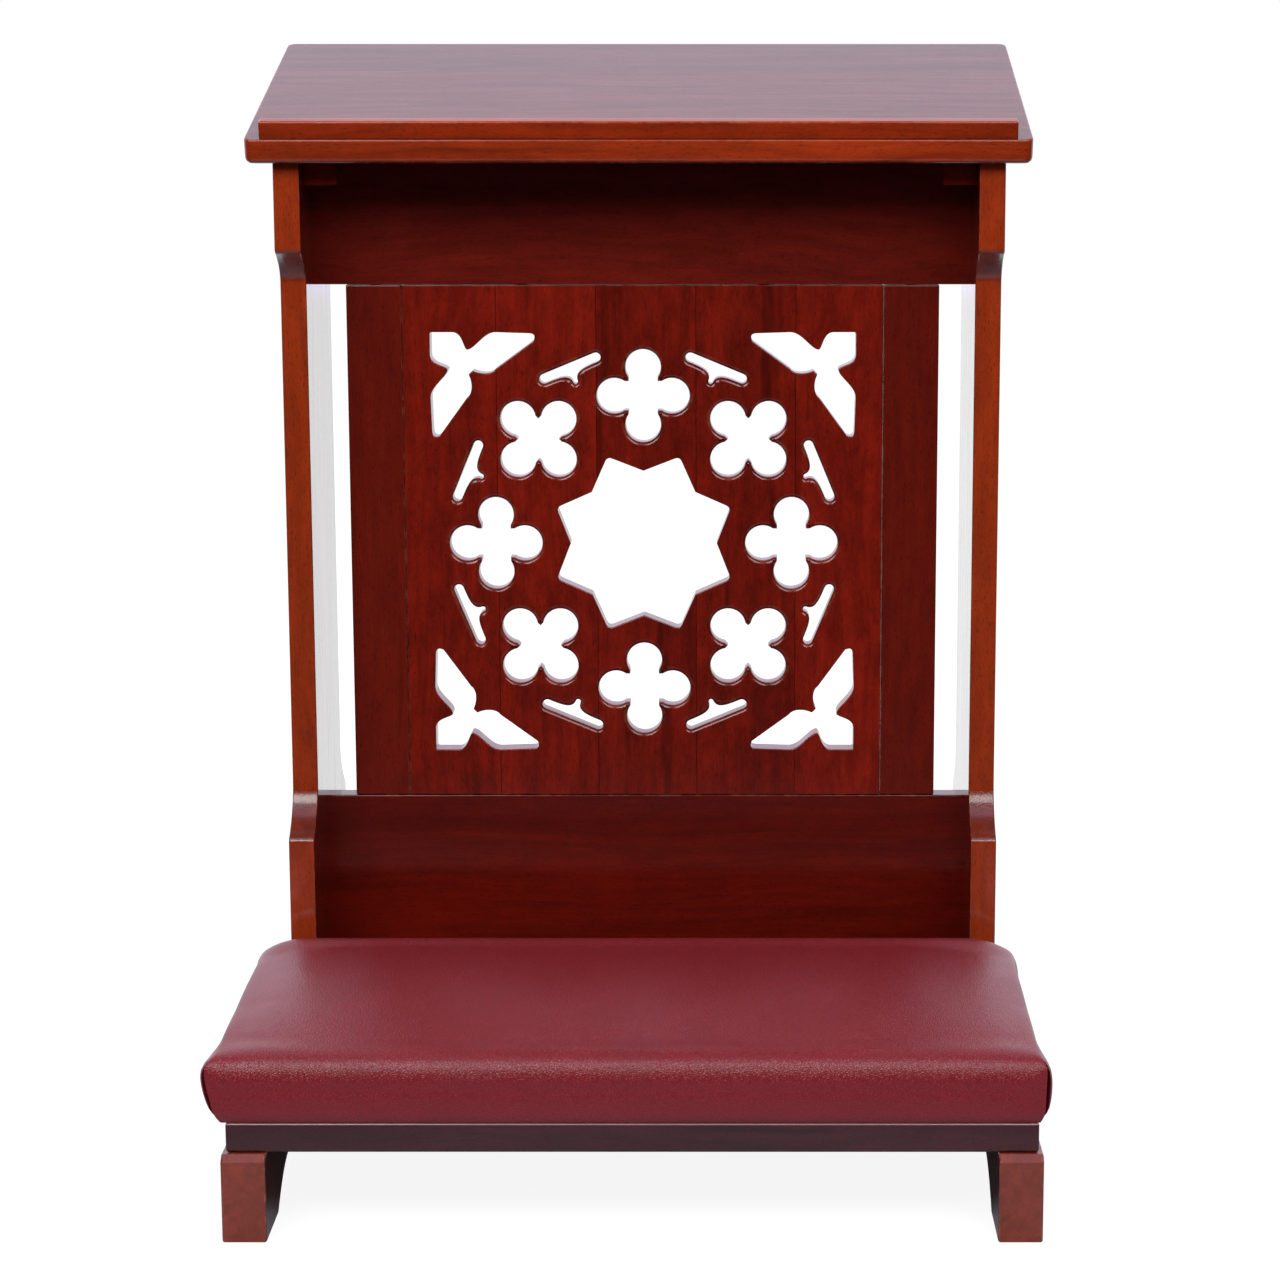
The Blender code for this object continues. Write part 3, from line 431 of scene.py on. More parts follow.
def fretwork_outlines(tracery, low, high):
    """Edge of the panel and all its cut-outs, round the panel's middle."""
    middle = ((low[0] + high[0]) / 2, (low[1] + high[1]) / 2)
    outlines = [(rounded(rectangle(low, high), tracery.rim), tracery.rim)]
    holes = [(star_outline(tracery), tracery.rim)]
    step = 2 * math.pi / tracery.quatrefoils
    for number in range(tracery.quatrefoils):
        quatrefoil = turn(quatrefoil_outline(tracery), number * step, (ring_radius(tracery), 0.0))
        spandrel = turn(spandrel_outline(tracery), (number + 0.5) * step)
        holes += [(quatrefoil, tracery.round_over), (spandrel, tracery.round_over)]
    square = ring_radius(tracery) + tracery.spandrel_rise + tracery.corner_bar
    for number in range(4):
        corner = [(u - square, v - square) for u, v in leaf_outline(tracery)]
        holes.append((turn(corner, number * math.pi / 2), tracery.rim))
    for hole, rim in holes:
        outlines.append(([(u + middle[0], v + middle[1]) for u, v in hole], rim))
    return outlines


def side_outline(boards, low, high, desk_back_rise):
    """Front to back and height round a side board, with its S-curves above and below the waist."""
    waist_back = boards.waist_front + boards.waist_depth
    lower_front = boards.waist_front - boards.lower_step
    upper_front = boards.waist_front - boards.upper_step
    lead = boards.arris * 2
    front = [(lower_front, low.z), (lower_front, boards.lower_block_top - lead)]
    front += cove((lower_front, boards.lower_block_top), (boards.waist_front, boards.waist_foot))
    front += [(boards.waist_front, boards.waist_foot + lead), (boards.waist_front, boards.waist_top - lead)]
    front += reversed(cove((upper_front, boards.upper_block_foot), (boards.waist_front, boards.waist_top)))
    front += [(upper_front, boards.upper_block_foot + lead)]
    back = [(boards.waist_front + waist_back - y, z) for y, z in reversed(front)]
    head = [(upper_front, high.z - desk_back_rise), (boards.waist_front + waist_back - upper_front, high.z)]
    return front + head + back


def runner_outline(boards, low, high):
    """Front to back and height round a runner: flat feet, an arch between them, chamfered ends."""
    front = [(boards.chamfer, high.z), (0.0, high.z - boards.chamfer), (0.0, 0.0)]
    for step in range(CURVE_STEPS + 1):
        share = step / CURVE_STEPS
        front.append((boards.foot + boards.ramp * share, boards.relief * (1 - (1 - share) ** 2)))
    length = high.y - low.y
    back = [(length - y, z) for y, z in reversed(front)]
    return [(low.y + y, z) for y, z in front + back]


# Pieces


def add_object(name, mesh):
    piece = bpy.data.objects.new(name, mesh)
    bpy.context.scene.collection.objects.link(piece)
    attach(piece, "root")
    return piece


def edge_profile(thickness, arris):
    """Inset, height and step of the loops round a board's edge, from its near face to its far one."""
    near, far = arris if isinstance(arris, tuple) else (arris, arris)
    steps = range(ARRIS_STEPS + 1)
    profile = []
    for radius, sign, order in ((near, -1, steps), (far, 1, reversed(steps))):
        for step in order:
            angle = math.pi / 2 * step / ARRIS_STEPS
            height = sign * (thickness / 2 - radius * (1 - math.cos(angle)))
            profile.append((radius * (1 - math.sin(angle)), height, step))
    return profile


def sawn_board(name, outlines, thickness, matrix):
    """Board sawn to its outlines, each with the rounding of its arrises.

    The first outline is the board's edge and the others are cut-outs.
    A point attribute marks the arrises."""
    work = bmesh.new()
    mark = work.verts.layers.float.new("arris")
    caps = ([], [])
    for number, (outline, arris) in enumerate(outlines):
        points = outline if (signed_area(outline) > 0) == (number == 0) else outline[::-1]
        loops = []
        for inset, height, step in edge_profile(thickness, arris):
            loop = [work.verts.new((u, v, height)) for u, v in shifted(points, inset)]
            for vert in loop:
                vert[mark] = 1.0 if 0 < step < ARRIS_STEPS else 0.0
            loops.append(loop)
        for low, high in zip(loops, loops[1:]):
            for k in range(len(low)):
                work.faces.new((low[k - 1], low[k], high[k], high[k - 1]))
        for cap, loop in zip(caps, (loops[0], loops[-1])):
            cap += [work.edges.get((loop[k - 1], loop[k])) for k in range(len(loop))]
    for cap in caps:
        bmesh.ops.triangle_fill(work, use_beauty=True, use_dissolve=False, edges=cap)
    bmesh.ops.recalc_face_normals(work, faces=work.faces)
    work.transform(matrix)
    mesh = bpy.data.meshes.new(name)
    work.to_mesh(mesh)
    work.free()
    mesh.shade_smooth()
    mesh.set_sharp_from_angle(angle=SMOOTH_ANGLE)
    piece = add_object(name, mesh)
    even = piece.modifiers.new("flat faces", "WEIGHTED_NORMAL")
    even.keep_sharp = True
    return piece


def middle_of(node):
    low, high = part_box(node)
    return (low + high) / 2


def lengthened(node, reach):
    """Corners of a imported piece's box, moved out to the left and right by a reach."""
    low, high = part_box(node)
    outward = Vector((reach, 0.0, 0.0))
    return low - outward, high + outward


def board_in_place(name, node, facing, *outlines):
    """Sawn board with the thickness and place of a packed one."""
    axis = "XYZ".index(facing)
    low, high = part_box(node)
    middle = Vector((0.0, 0.0, 0.0))
    middle[axis] = middle_of(node)[axis]
    return sawn_board(name, outlines, high[axis] - low[axis], Matrix.Translation(middle) @ FACING[facing])


def plank(name, node, facing, arris, corner=None, reach=0.0):
    """Rectangular board in the place of a packed one, longer at both ends by a reach."""
    low, high = lengthened(node, reach)
    u, v = (axis for axis in range(3) if axis != "XYZ".index(facing))
    face = rounded(rectangle((low[u], low[v]), (high[u], high[v])), corner or arris)
    return board_in_place(name, node, facing, (face, arris))


def coat(piece, material):
    piece.data.materials.clear()
    piece.data.materials.append(material)


def dress(piece, material, slot, *nodes):
    coat(piece, material)
    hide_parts(*nodes)


# Finishes


class NodeKit:
    """Nodes of a material or a world, made and linked by short calls."""

    def __init__(self, owner):
        owner.use_nodes = True
        self.nodes = owner.node_tree.nodes
        self.links = owner.node_tree.links

    def node(self, kind, inputs=None, **settings):
        node = self.nodes.new("ShaderNode" + kind)
        for key, value in settings.items():
            setattr(node, key, value)
        for key, value in (inputs or {}).items():
            self.feed(node.inputs[key], value)
        return node

    def feed(self, socket, value):
        if isinstance(value, bpy.types.NodeSocket):
            self.links.new(value, socket)
        else:
            socket.default_value = value

    def math(self, operation, first, second=0.0, third=0.0):
        return self.node("Math", {0: first, 1: second, 2: third}, operation=operation).outputs[0]

    def times(self, first, second):
        return self.math("MULTIPLY", first, second)

    def parts(self, vector):
        return self.node("SeparateXYZ", {0: vector}).outputs

    def attribute(self, name):
        return self.node("Attribute", attribute_name=name).outputs["Fac"]

    def vector(self, operation, first, second, third=(0.0, 0.0, 0.0)):
        return self.node("VectorMath", {0: first, 1: second, 2: third}, operation=operation).outputs[0]

    def fade(self, value, low, high, start=0.0, end=1.0):
        inputs = {"Value": value, "From Min": low, "From Max": high, "To Min": start, "To Max": end}
        return self.node("MapRange", inputs, interpolation_type="SMOOTHSTEP").outputs["Result"]

    def noise(self, place, scale, detail, roughness=0.5):
        inputs = {"Vector": place, "Scale": scale, "Detail": detail, "Roughness": roughness}
        return self.node("TexNoise", inputs).outputs["Fac"]

    def mix(self, share, first, second):
        node = self.node("Mix", data_type="RGBA")
        self.feed(node.inputs[0], share)
        self.feed(node.inputs[6], first)
        self.feed(node.inputs[7], second)
        return node.outputs[2]

    def bump(self, height, distance, strength):
        inputs = {"Height": height, "Distance": distance, "Strength": strength}
        return self.node("Bump", inputs).outputs["Normal"]


class Finish(NodeKit):
    """A procedural material, built node by node."""

    def __init__(self, name):
        self.material = bpy.data.materials.new(name)
        super().__init__(self.material)
        self.surface = self.nodes["Principled BSDF"]
        self.place = self.node("TexCoord").outputs["Object"]

    def set(self, **inputs):
        for key, value in inputs.items():
            self.feed(self.surface.inputs[key.replace("_", " ")], value)


def opaque(colour, gain=1.0):
    return (*(min(channel * gain, 1.0) for channel in colour), 1.0)


# Noise in the wood: its stretch along the grain, its scale, its detail and its roughness
FIGURE = (0.16, 22.0, 3.0, 0.55)
STREAKS = (0.035, 150.0, 3.0, 0.6)
FIBRES = (0.018, 1100.0, 2.0, 0.6)
PORES = (0.18, 1500.0, 1.0, 0.5)
CLOUDS = (0.45, 85.0, 4.0, 0.68)
DARK_LINES = (0.05, 60.0, 2.0, 0.7)

# Shares of fibres, streaks and figure in the depth of the tone
FIBRE_SHARE = 0.20
STREAK_SHARE = 0.38
FIGURE_SHARE = 0.42

# Shifts of the grain and of the glued boards from one piece to the next
SEED_SHIFT = (1.37, 2.11, 0.73)
STRIP_SHIFT = 0.37

# Widths of the boards that the desk top and the panel are glued from, and half widths of a glue line
DESK_STRIP = 0.062
PANEL_STRIP = 0.0745
GLUE_OUTER = 0.0005
GLUE_INNER = 0.0002


def mahogany(
    name, tone, along, seed, strip=None, edge=None, contrast=1.0, wave=0.006, wear=0.25,
    gloss=0.0, mottle=0.1, top_edge_highlight=0.0, end_grain=0.0,
):
    """Lacquered mahogany, with its grain along one direction. The seed gives each piece its own grain.

    Strip is the direction and width of glued boards. Edge is the direction that the tone's faces look in,
    and the lighter tone of all other faces: painted shade on those faces and painted light on the rest. End
    grain is the share of the tone lost where wood is cut across."""
    settings = bpy.context.scene.kneeler.finish
    finish = Finish(name)
    place = finish.vector("ADD", finish.place, tuple(seed * shift for shift in SEED_SHIFT))
    if strip:
        direction, width = strip
        across = finish.parts(finish.place)[direction]
        boards = finish.math("ADD", finish.math("DIVIDE", across, width), STRIP_SHIFT * seed)
        number = finish.math("FLOOR", boards)
        chance = finish.node("TexWhiteNoise", {"W": number}, noise_dimensions="1D").outputs
        place = finish.vector("MULTIPLY_ADD", chance["Color"], (5.0, 5.0, 5.0), finish.place)
        shade = chance["Value"]
        from_seam = finish.math("ABSOLUTE", finish.math("SUBTRACT", finish.math("FRACT", boards), 0.5))
        glue = finish.fade(from_seam, 0.5 - GLUE_OUTER / width, 0.5 - GLUE_INNER / width)
    warp = finish.node("TexNoise", {"Vector": place, "Scale": 7.0, "Detail": 1.0}).outputs["Color"]
    place = finish.vector("ADD", place, finish.vector("MULTIPLY", warp, (wave * 4,) * 3))

    def grain(stretch, *noise):
        scale = [1.0, 1.0, 1.0]
        scale["XYZ".index(along)] = stretch
        return finish.noise(finish.vector("MULTIPLY", place, tuple(scale)), *noise)

    streaks = grain(*STREAKS)
    fibres = grain(*FIBRES)
    pores = finish.fade(grain(*PORES), 0.58, 0.72)
    depth = finish.math("MULTIPLY_ADD", fibres, FIBRE_SHARE, finish.times(streaks, STREAK_SHARE))
    depth = finish.math("MULTIPLY_ADD", grain(*FIGURE), FIGURE_SHARE, depth)
    if strip:
        depth = finish.math("ADD", depth, finish.math("MULTIPLY_ADD", shade, 0.12, -0.06))
    depth = finish.fade(depth, 0.28, 0.72, 1.0 - 0.42 * contrast, 1.0 + 0.42 * contrast)
    rare = finish.fade(grain(*DARK_LINES), 0.58, 0.76, 0.0, 0.5 * contrast)
    stain = finish.math("SUBTRACT", 1.0, finish.math("MAXIMUM", rare, finish.times(pores, 0.4)))
    depth = finish.times(depth, stain)
    clouds = finish.fade(grain(*CLOUDS), 0.3, 0.7, 1.0 - mottle, 1.0 + mottle)
    depth = finish.times(depth, clouds)
    if strip:
        depth = finish.times(depth, finish.fade(glue, 0.0, 1.0, 1.0, 0.4))
    normal = finish.parts(finish.node("NewGeometry").outputs["Normal"])
    ends = finish.math("ABSOLUTE", normal[along])
    if end_grain:
        depth = finish.times(depth, finish.fade(ends, 0.06, 0.5, 1.0, 1.0 - end_grain))
    base = tuple(tone)
    # Painted light and shade: faces that look along one direction take the dark tone, all other faces the
    # light one
    if edge:
        side, lit_edge_tone = edge
        flat = finish.fade(finish.math("ABSOLUTE", normal[side]), 0.6, 0.9)
        base = finish.mix(flat, opaque(lit_edge_tone), opaque(tone))
    colour = finish.node("VectorMath", {0: base, "Scale": depth}, operation="SCALE").outputs[0]
    arris = finish.attribute("arris")
    rubbed = finish.fade(finish.noise(finish.place, 90.0, 4.0, 0.65), 0.46, 0.62)
    rubbed = finish.times(finish.times(arris, rubbed), wear)
    colour = finish.mix(rubbed, colour, opaque(settings.bare_wood))
    # Painted highlight: pale colour on upward-facing arrises, standing in for the lamps' glint on the
    # rounded edge
    if top_edge_highlight:
        upward = finish.fade(normal["Z"], 0.1, 0.5)
        painted_highlight = finish.times(finish.times(arris, top_edge_highlight), upward)
        colour = finish.mix(painted_highlight, colour, opaque(settings.edge_highlight_tone))
    height = finish.math("SUBTRACT", finish.times(fibres, 0.35), pores)
    peel = finish.noise(finish.place, 160.0, 2.0, 0.5)
    if end_grain:
        open_pores = finish.noise(finish.place, 700.0, 2.0, 0.6)
        peel = finish.math("MULTIPLY_ADD", finish.fade(ends, 0.03, 0.3, 0.0, 9.0), open_pores, peel)
    finish.set(
        Base_Color=colour,
        Roughness=finish.fade(streaks, 0.3, 0.7, 0.55 - gloss, 0.42 - gloss),
        Specular_IOR_Level=0.03 + gloss,
        Normal=finish.bump(height, 0.00006, 0.6),
        Coat_Weight=finish.fade(rubbed, 0.0, 0.8, settings.lacquer, 0.0),
        Coat_Roughness=settings.lacquer_roughness,
        Coat_IOR=1.55,
        Coat_Normal=finish.bump(peel, 0.00006, 0.5),
    )
    return finish.material


# Slant and stretch of the pebbles
PEBBLE_TURN = (math.radians(45), 0.0, math.radians(58))
PEBBLE_STRETCH = (1.6, 1.0, 1.0)
SCUFF_TONE = (0.42, 0.20, 0.22, 1.0)
SHEEN_TONE = (1.0, 0.75, 0.80, 1.0)


def leatherette(name, tone):
    """Pebbled upholstery vinyl with a soft sheen."""
    finish = Finish(name)
    slant = {"Vector": finish.place, "Rotation": PEBBLE_TURN, "Scale": PEBBLE_STRETCH}
    slanted = finish.node("Mapping", slant, vector_type="TEXTURE").outputs[0]
    wobble = finish.node("TexNoise", {"Vector": slanted, "Scale": 300.0, "Detail": 2.0}).outputs["Color"]
    place = finish.vector("MULTIPLY_ADD", wobble, (0.0018,) * 3, slanted)
    cells = finish.node("TexVoronoi", {"Vector": place, "Scale": 620.0}, feature="DISTANCE_TO_EDGE")
    pebble = finish.fade(cells.outputs["Distance"], 0.0, 0.42)
    tufts = finish.noise(finish.place, 2600.0, 2.0, 0.6)
    cloud = finish.noise(finish.place, 26.0, 4.0, 0.6)
    colour = finish.mix(finish.fade(cloud, 0.3, 0.7), opaque(tone, 0.95), opaque(tone, 1.05))
    # Painted shade in the grooves between the pebbles
    colour = finish.mix(finish.fade(pebble, 0.0, 0.6, 0.5, 0.0), colour, opaque(tone, 0.45))
    scuff = finish.fade(finish.noise(finish.place, 75.0, 5.0, 0.7), 0.66, 0.80)
    colour = finish.mix(finish.times(scuff, 0.22), colour, SCUFF_TONE)
    # Painted shade: near black in the groove beside each folded corner, where the creases are marked
    painted_crease_shade = finish.attribute("painted_crease_shade")
    colour = finish.mix(finish.fade(painted_crease_shade, 0.25, 0.6), colour, opaque(tone, 0.05))
    height = finish.math("ADD", finish.times(tufts, 0.15), pebble)
    finish.set(
        Base_Color=colour,
        Roughness=finish.fade(cloud, 0.3, 0.7, 0.34, 0.29),
        Specular_IOR_Level=0.46,
        Sheen_Weight=0.02,
        Sheen_Roughness=0.4,
        Sheen_Tint=SHEEN_TONE,
        Normal=finish.bump(height, 0.00024, 0.6),
    )
    return finish.material


# Dark and pale tones of the hidden pieces, and the thickness of two plies
PLY_TONES = ((0.34, 0.20, 0.10, 1.0), (0.52, 0.35, 0.19, 1.0))
PLY_SEAM_TONE = (0.22, 0.12, 0.06, 1.0)
PLY_PAIR = 0.003
BEECH_TONES = ((0.42, 0.25, 0.12, 1.0), (0.62, 0.42, 0.24, 1.0))
ZINC_TONES = ((0.42, 0.41, 0.40, 1.0), (0.66, 0.66, 0.67, 1.0))


def plywood(name):
    finish = Finish(name)
    plies = finish.parts(finish.place)["Z"]
    bands = finish.math("SINE", finish.times(plies, 2 * math.pi / PLY_PAIR))
    grain = finish.noise(finish.vector("MULTIPLY", finish.place, (0.05, 1.0, 1.0)), 400.0, 3.0)
    colour = finish.mix(grain, *PLY_TONES)
    colour = finish.mix(finish.fade(bands, -0.4, 0.4, 0.0, 0.35), colour, PLY_SEAM_TONE)
    finish.set(Base_Color=colour, Roughness=0.75, Normal=finish.bump(grain, 0.0002, 0.6))
    return finish.material


def beech(name):
    finish = Finish(name)
    grain = finish.noise(finish.place, 900.0, 3.0, 0.6)
    colour = finish.mix(grain, *BEECH_TONES)
    finish.set(Base_Color=colour, Roughness=0.7, Normal=finish.bump(grain, 0.0001, 0.5))
    return finish.material


def zinc_plate(name):
    finish = Finish(name)
    spangle = finish.noise(finish.place, 500.0, 4.0, 0.6)
    colour = finish.mix(spangle, *ZINC_TONES)
    finish.set(
        Base_Color=colour,
        Metallic=1.0,
        Roughness=finish.fade(spangle, 0.3, 0.7, 0.28, 0.48),
        Normal=finish.bump(spangle, 0.00005, 0.4),
    )
    return finish.material


# Boards


def desk_matrix(desk):
    """Frame of the desk: its origin is the middle of the desk's upper front edge."""
    return Matrix.Translation((0.0, desk.front, desk.height)) @ Matrix.Rotation(desk.slope, 4, "X")


class KNEELER_OT_desk(bpy.types.Operator):
    """Make the desk top and its book ledge."""

    bl_idname = "kneeler.desk"
    bl_label = "Desk and Ledge"

    def execute(self, context):
        desk = context.scene.kneeler.desk
        finish = context.scene.kneeler.finish
        half = desk.width / 2
        plan = rounded(rectangle((-half, 0.0), (half, desk.length)), desk.corner)
        place = desk_matrix(desk) @ Matrix.Translation((0.0, 0.0, -desk.thickness / 2))
        edges = (desk.lower_arris, desk.upper_arris)
        top = sawn_board("desk_board", [(plan, edges)], desk.thickness, place)
        # Top face in the dark tone, edges in the light one: painted light and shade by face direction
        wood = mahogany(
            "desk_mahogany", finish.desk, "X", seed=3,
            strip=("Y", DESK_STRIP), edge=("Z", finish.desk_lit_edge), contrast=0.8,
        )
        dress(top, wood, "desk", "desk_top")
        half -= desk.ledge_inset
        near, far = desk.ledge_setback, desk.ledge_setback + desk.ledge_depth
        plan = rounded(rectangle((-half, near), (half, far)), desk.ledge_arris)
        lift = Matrix.Translation((0.0, 0.0, desk.ledge_height / 2))
        edges = (desk.ledge_arris / 4, desk.ledge_arris)
        strip = sawn_board("ledge_strip", [(plan, edges)], desk.ledge_height, desk_matrix(desk) @ lift)
        wood = mahogany("ledge_mahogany", finish.ledge, "X", seed=5, contrast=0.9, wear=0.5)
        dress(strip, wood, "desk", "book_ledge")
        return {"FINISHED"}


class KNEELER_OT_side_boards(bpy.types.Operator):
    """Make the side boards and finish the cleats under the desk."""

    bl_idname = "kneeler.side_boards"
    bl_label = "Side Boards and Cleats"

    def execute(self, context):
        settings = context.scene.kneeler
        boards = settings.boards
        depth = boards.waist_depth + 2 * boards.upper_step
        rise = depth * math.tan(settings.desk.slope)
        # Painted shade on the wide faces, painted light on the edges
        edge = ("X", settings.finish.side_lit_edge)
        for side, sign in SIDES:
            node = side + "_side_board"
            outline = side_outline(boards, *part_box(node), rise)
            piece = board_in_place(side + "_side", node, "X", (outline, boards.arris))
            wood = mahogany(
                side + "_side_mahogany", settings.finish.side, "Z", seed=11 + sign,
                edge=edge, contrast=0.6, wear=0.3, gloss=0.35, end_grain=0.48,
            )
            dress(piece, wood, "boards", node)
        wood = mahogany("cleat_mahogany", settings.finish.panel, "Y", seed=17, wear=0.1)
        for name, node in NODES.items():
            if name.endswith("_cleat"):
                coat(node, wood)
        return {"FINISHED"}


class KNEELER_OT_rails(bpy.types.Operator):
    """Make the upper and lower rails."""

    bl_idname = "kneeler.rails"
    bl_label = "Rails"

    def execute(self, context):
        settings = context.scene.kneeler
        boards = settings.boards
        let_in = boards.arris + boards.fit_gap
        low, high = lengthened("upper_rail", let_in)
        rise = (high.y - low.y) * math.tan(settings.desk.slope)
        section = [(low.y, low.z), (high.y, low.z), (high.y, high.z), (low.y, high.z - rise)]
        section = rounded(section, boards.arris)
        upper = sawn_board("upper_cross_rail", [(section, boards.arris)], high.x - low.x, FACING["X"])
        wood = mahogany("upper_rail_mahogany", settings.finish.upper_rail, "X", seed=23, contrast=0.8)
        dress(upper, wood, "panel", "upper_rail")
        lower = plank("lower_cross_rail", "lower_rail", "Y", boards.arris, reach=let_in)
        tone = settings.finish.lower_rail
        wood = mahogany("lower_rail_mahogany", tone, "X", seed=29, contrast=0.9, wave=0.003)
        dress(lower, wood, "panel", "lower_rail")
        return {"FINISHED"}


class KNEELER_OT_panel(bpy.types.Operator):
    """Make the fretwork panel and its two stiles."""

    bl_idname = "kneeler.panel"
    bl_label = "Fretwork Panel"

    def execute(self, context):
        settings = context.scene.kneeler
        low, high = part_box("fretwork_panel")
        outlines = fretwork_outlines(settings.tracery, (low.x, low.z), (high.x, high.z))
        panel = board_in_place("tracery_panel", "fretwork_panel", "Y", *outlines)
        wood = mahogany(
            "panel_mahogany", settings.finish.panel, "Z", seed=31,
            strip=("X", PANEL_STRIP), contrast=0.9, mottle=0.24,
        )
        dress(panel, wood, "panel", "fretwork_panel")
        for side, sign in SIDES:
            node = side + "_stile"
            piece = plank(side + "_edge_stile", node, "Y", settings.tracery.rim)
            wood = mahogany(node + "_mahogany", settings.finish.stile, "Z", seed=37 + sign, contrast=0.6)
            dress(piece, wood, "panel", node)
        return {"FINISHED"}


class KNEELER_OT_base(bpy.types.Operator):
    """Make the runners and the kneeling board."""

    bl_idname = "kneeler.base"
    bl_label = "Runners and Kneeling Board"

    def execute(self, context):
        settings = context.scene.kneeler
        boards = settings.boards
        for side, sign in SIDES:
            node = side + "_runner"
            outline = runner_outline(boards, *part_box(node))
            piece = board_in_place(side + "_foot_runner", node, "X", (outline, boards.runner_arris))
            # Painted shade on the runner's faces, painted light on its ends
            wood = mahogany(
                node + "_mahogany", settings.finish.runner, "Y", seed=41 + sign,
                edge=("X", settings.finish.runner_lit_end), contrast=0.7, wear=0.7,
            )
            dress(piece, wood, "runners", node)
        piece = plank("knee_board", "kneeling_board", "Z", boards.kneeling_arris, boards.kneeling_corner)
        tone = settings.finish.kneeling_board
        # Rubbed wear on the arrises, and a pale painted highlight along the board's upper arris
        wood = mahogany("knee_board_mahogany", tone, "X", seed=47, wear=0.15, top_edge_highlight=0.95)
        dress(piece, wood, "runners", "kneeling_board")
        return {"FINISHED"}


# Pad and fixings


def smooth_step(share):
    share = min(max(share, 0.0), 1.0)
    return share * share * (3 - 2 * share)


def quarter_round(share):
    """Rise of a quarter circle from its upright start, both from 0 to 1."""
    return math.sqrt(1 - (1 - min(share, 1.0)) ** 2)


# Places next to an end, counted in steps
LEAD_STEPS = (0.0, 0.375, 0.9, 1.65, 2.65, 3.75)


def spaced(low, high, step):
    """Places from low to high: close together near both ends, about a step apart between them."""
    lead = [step * share for share in LEAD_STEPS]
    room = high - low - 2 * lead[-1]
    count = round(room / step)
    middle = [low + lead[-1] + room * number / count for number in range(1, count)]
    return [low + offset for offset in lead] + middle + [high - offset for offset in reversed(lead)]


# Powers that shape the crown, the fall towards the ends, their lean and the bulge of the folds
CROWN_POWER = 3
FALL_POWER = 0.8
LEAN_POWER = 1.5
BULGE_POWER = 0.4


def pad_height(pad, along, behind, aside):
    """Height of the pad's skin by the distances from its front, from its back and from its nearer end."""
    ear = pad.ear * smooth_step(1 - aside / pad.ear_reach) if along < behind else 0.0
    share = (along - pad.top_round) / (along + behind - 2 * pad.top_round)
    rise = pad.crown * (1 - (1 - min(max(share, 0.0), 1.0)) ** CROWN_POWER)
    level = pad.shoulder + rise
    height = level + blend(ear, pad.edge_rise, quarter_round(min(along, behind) / pad.top_round))
    fall = pad.end_fall * max(0.0, 1 - aside / pad.end_reach) ** 2
    return height - fall * min(along / pad.end_ramp, 1.0) ** FALL_POWER


# Columns of points from a folded corner on: distance from it, share of the lift, share of painted shade in
# the fold's groove
FOLD_COLUMNS = (
    (0.0090, -0.1, 1.0),
    (0.0024, 0.6, 0.0),
    (0.0056, 1.0, 0.0),
    (0.017, 0.8, 0.0),
    (0.030, 0.2, 0.0),
)

# Columns that stay crisp from a corner on, and steps over which the skin comes free to swell
CRISP_COLUMNS = 3
FREE_STEPS = 3


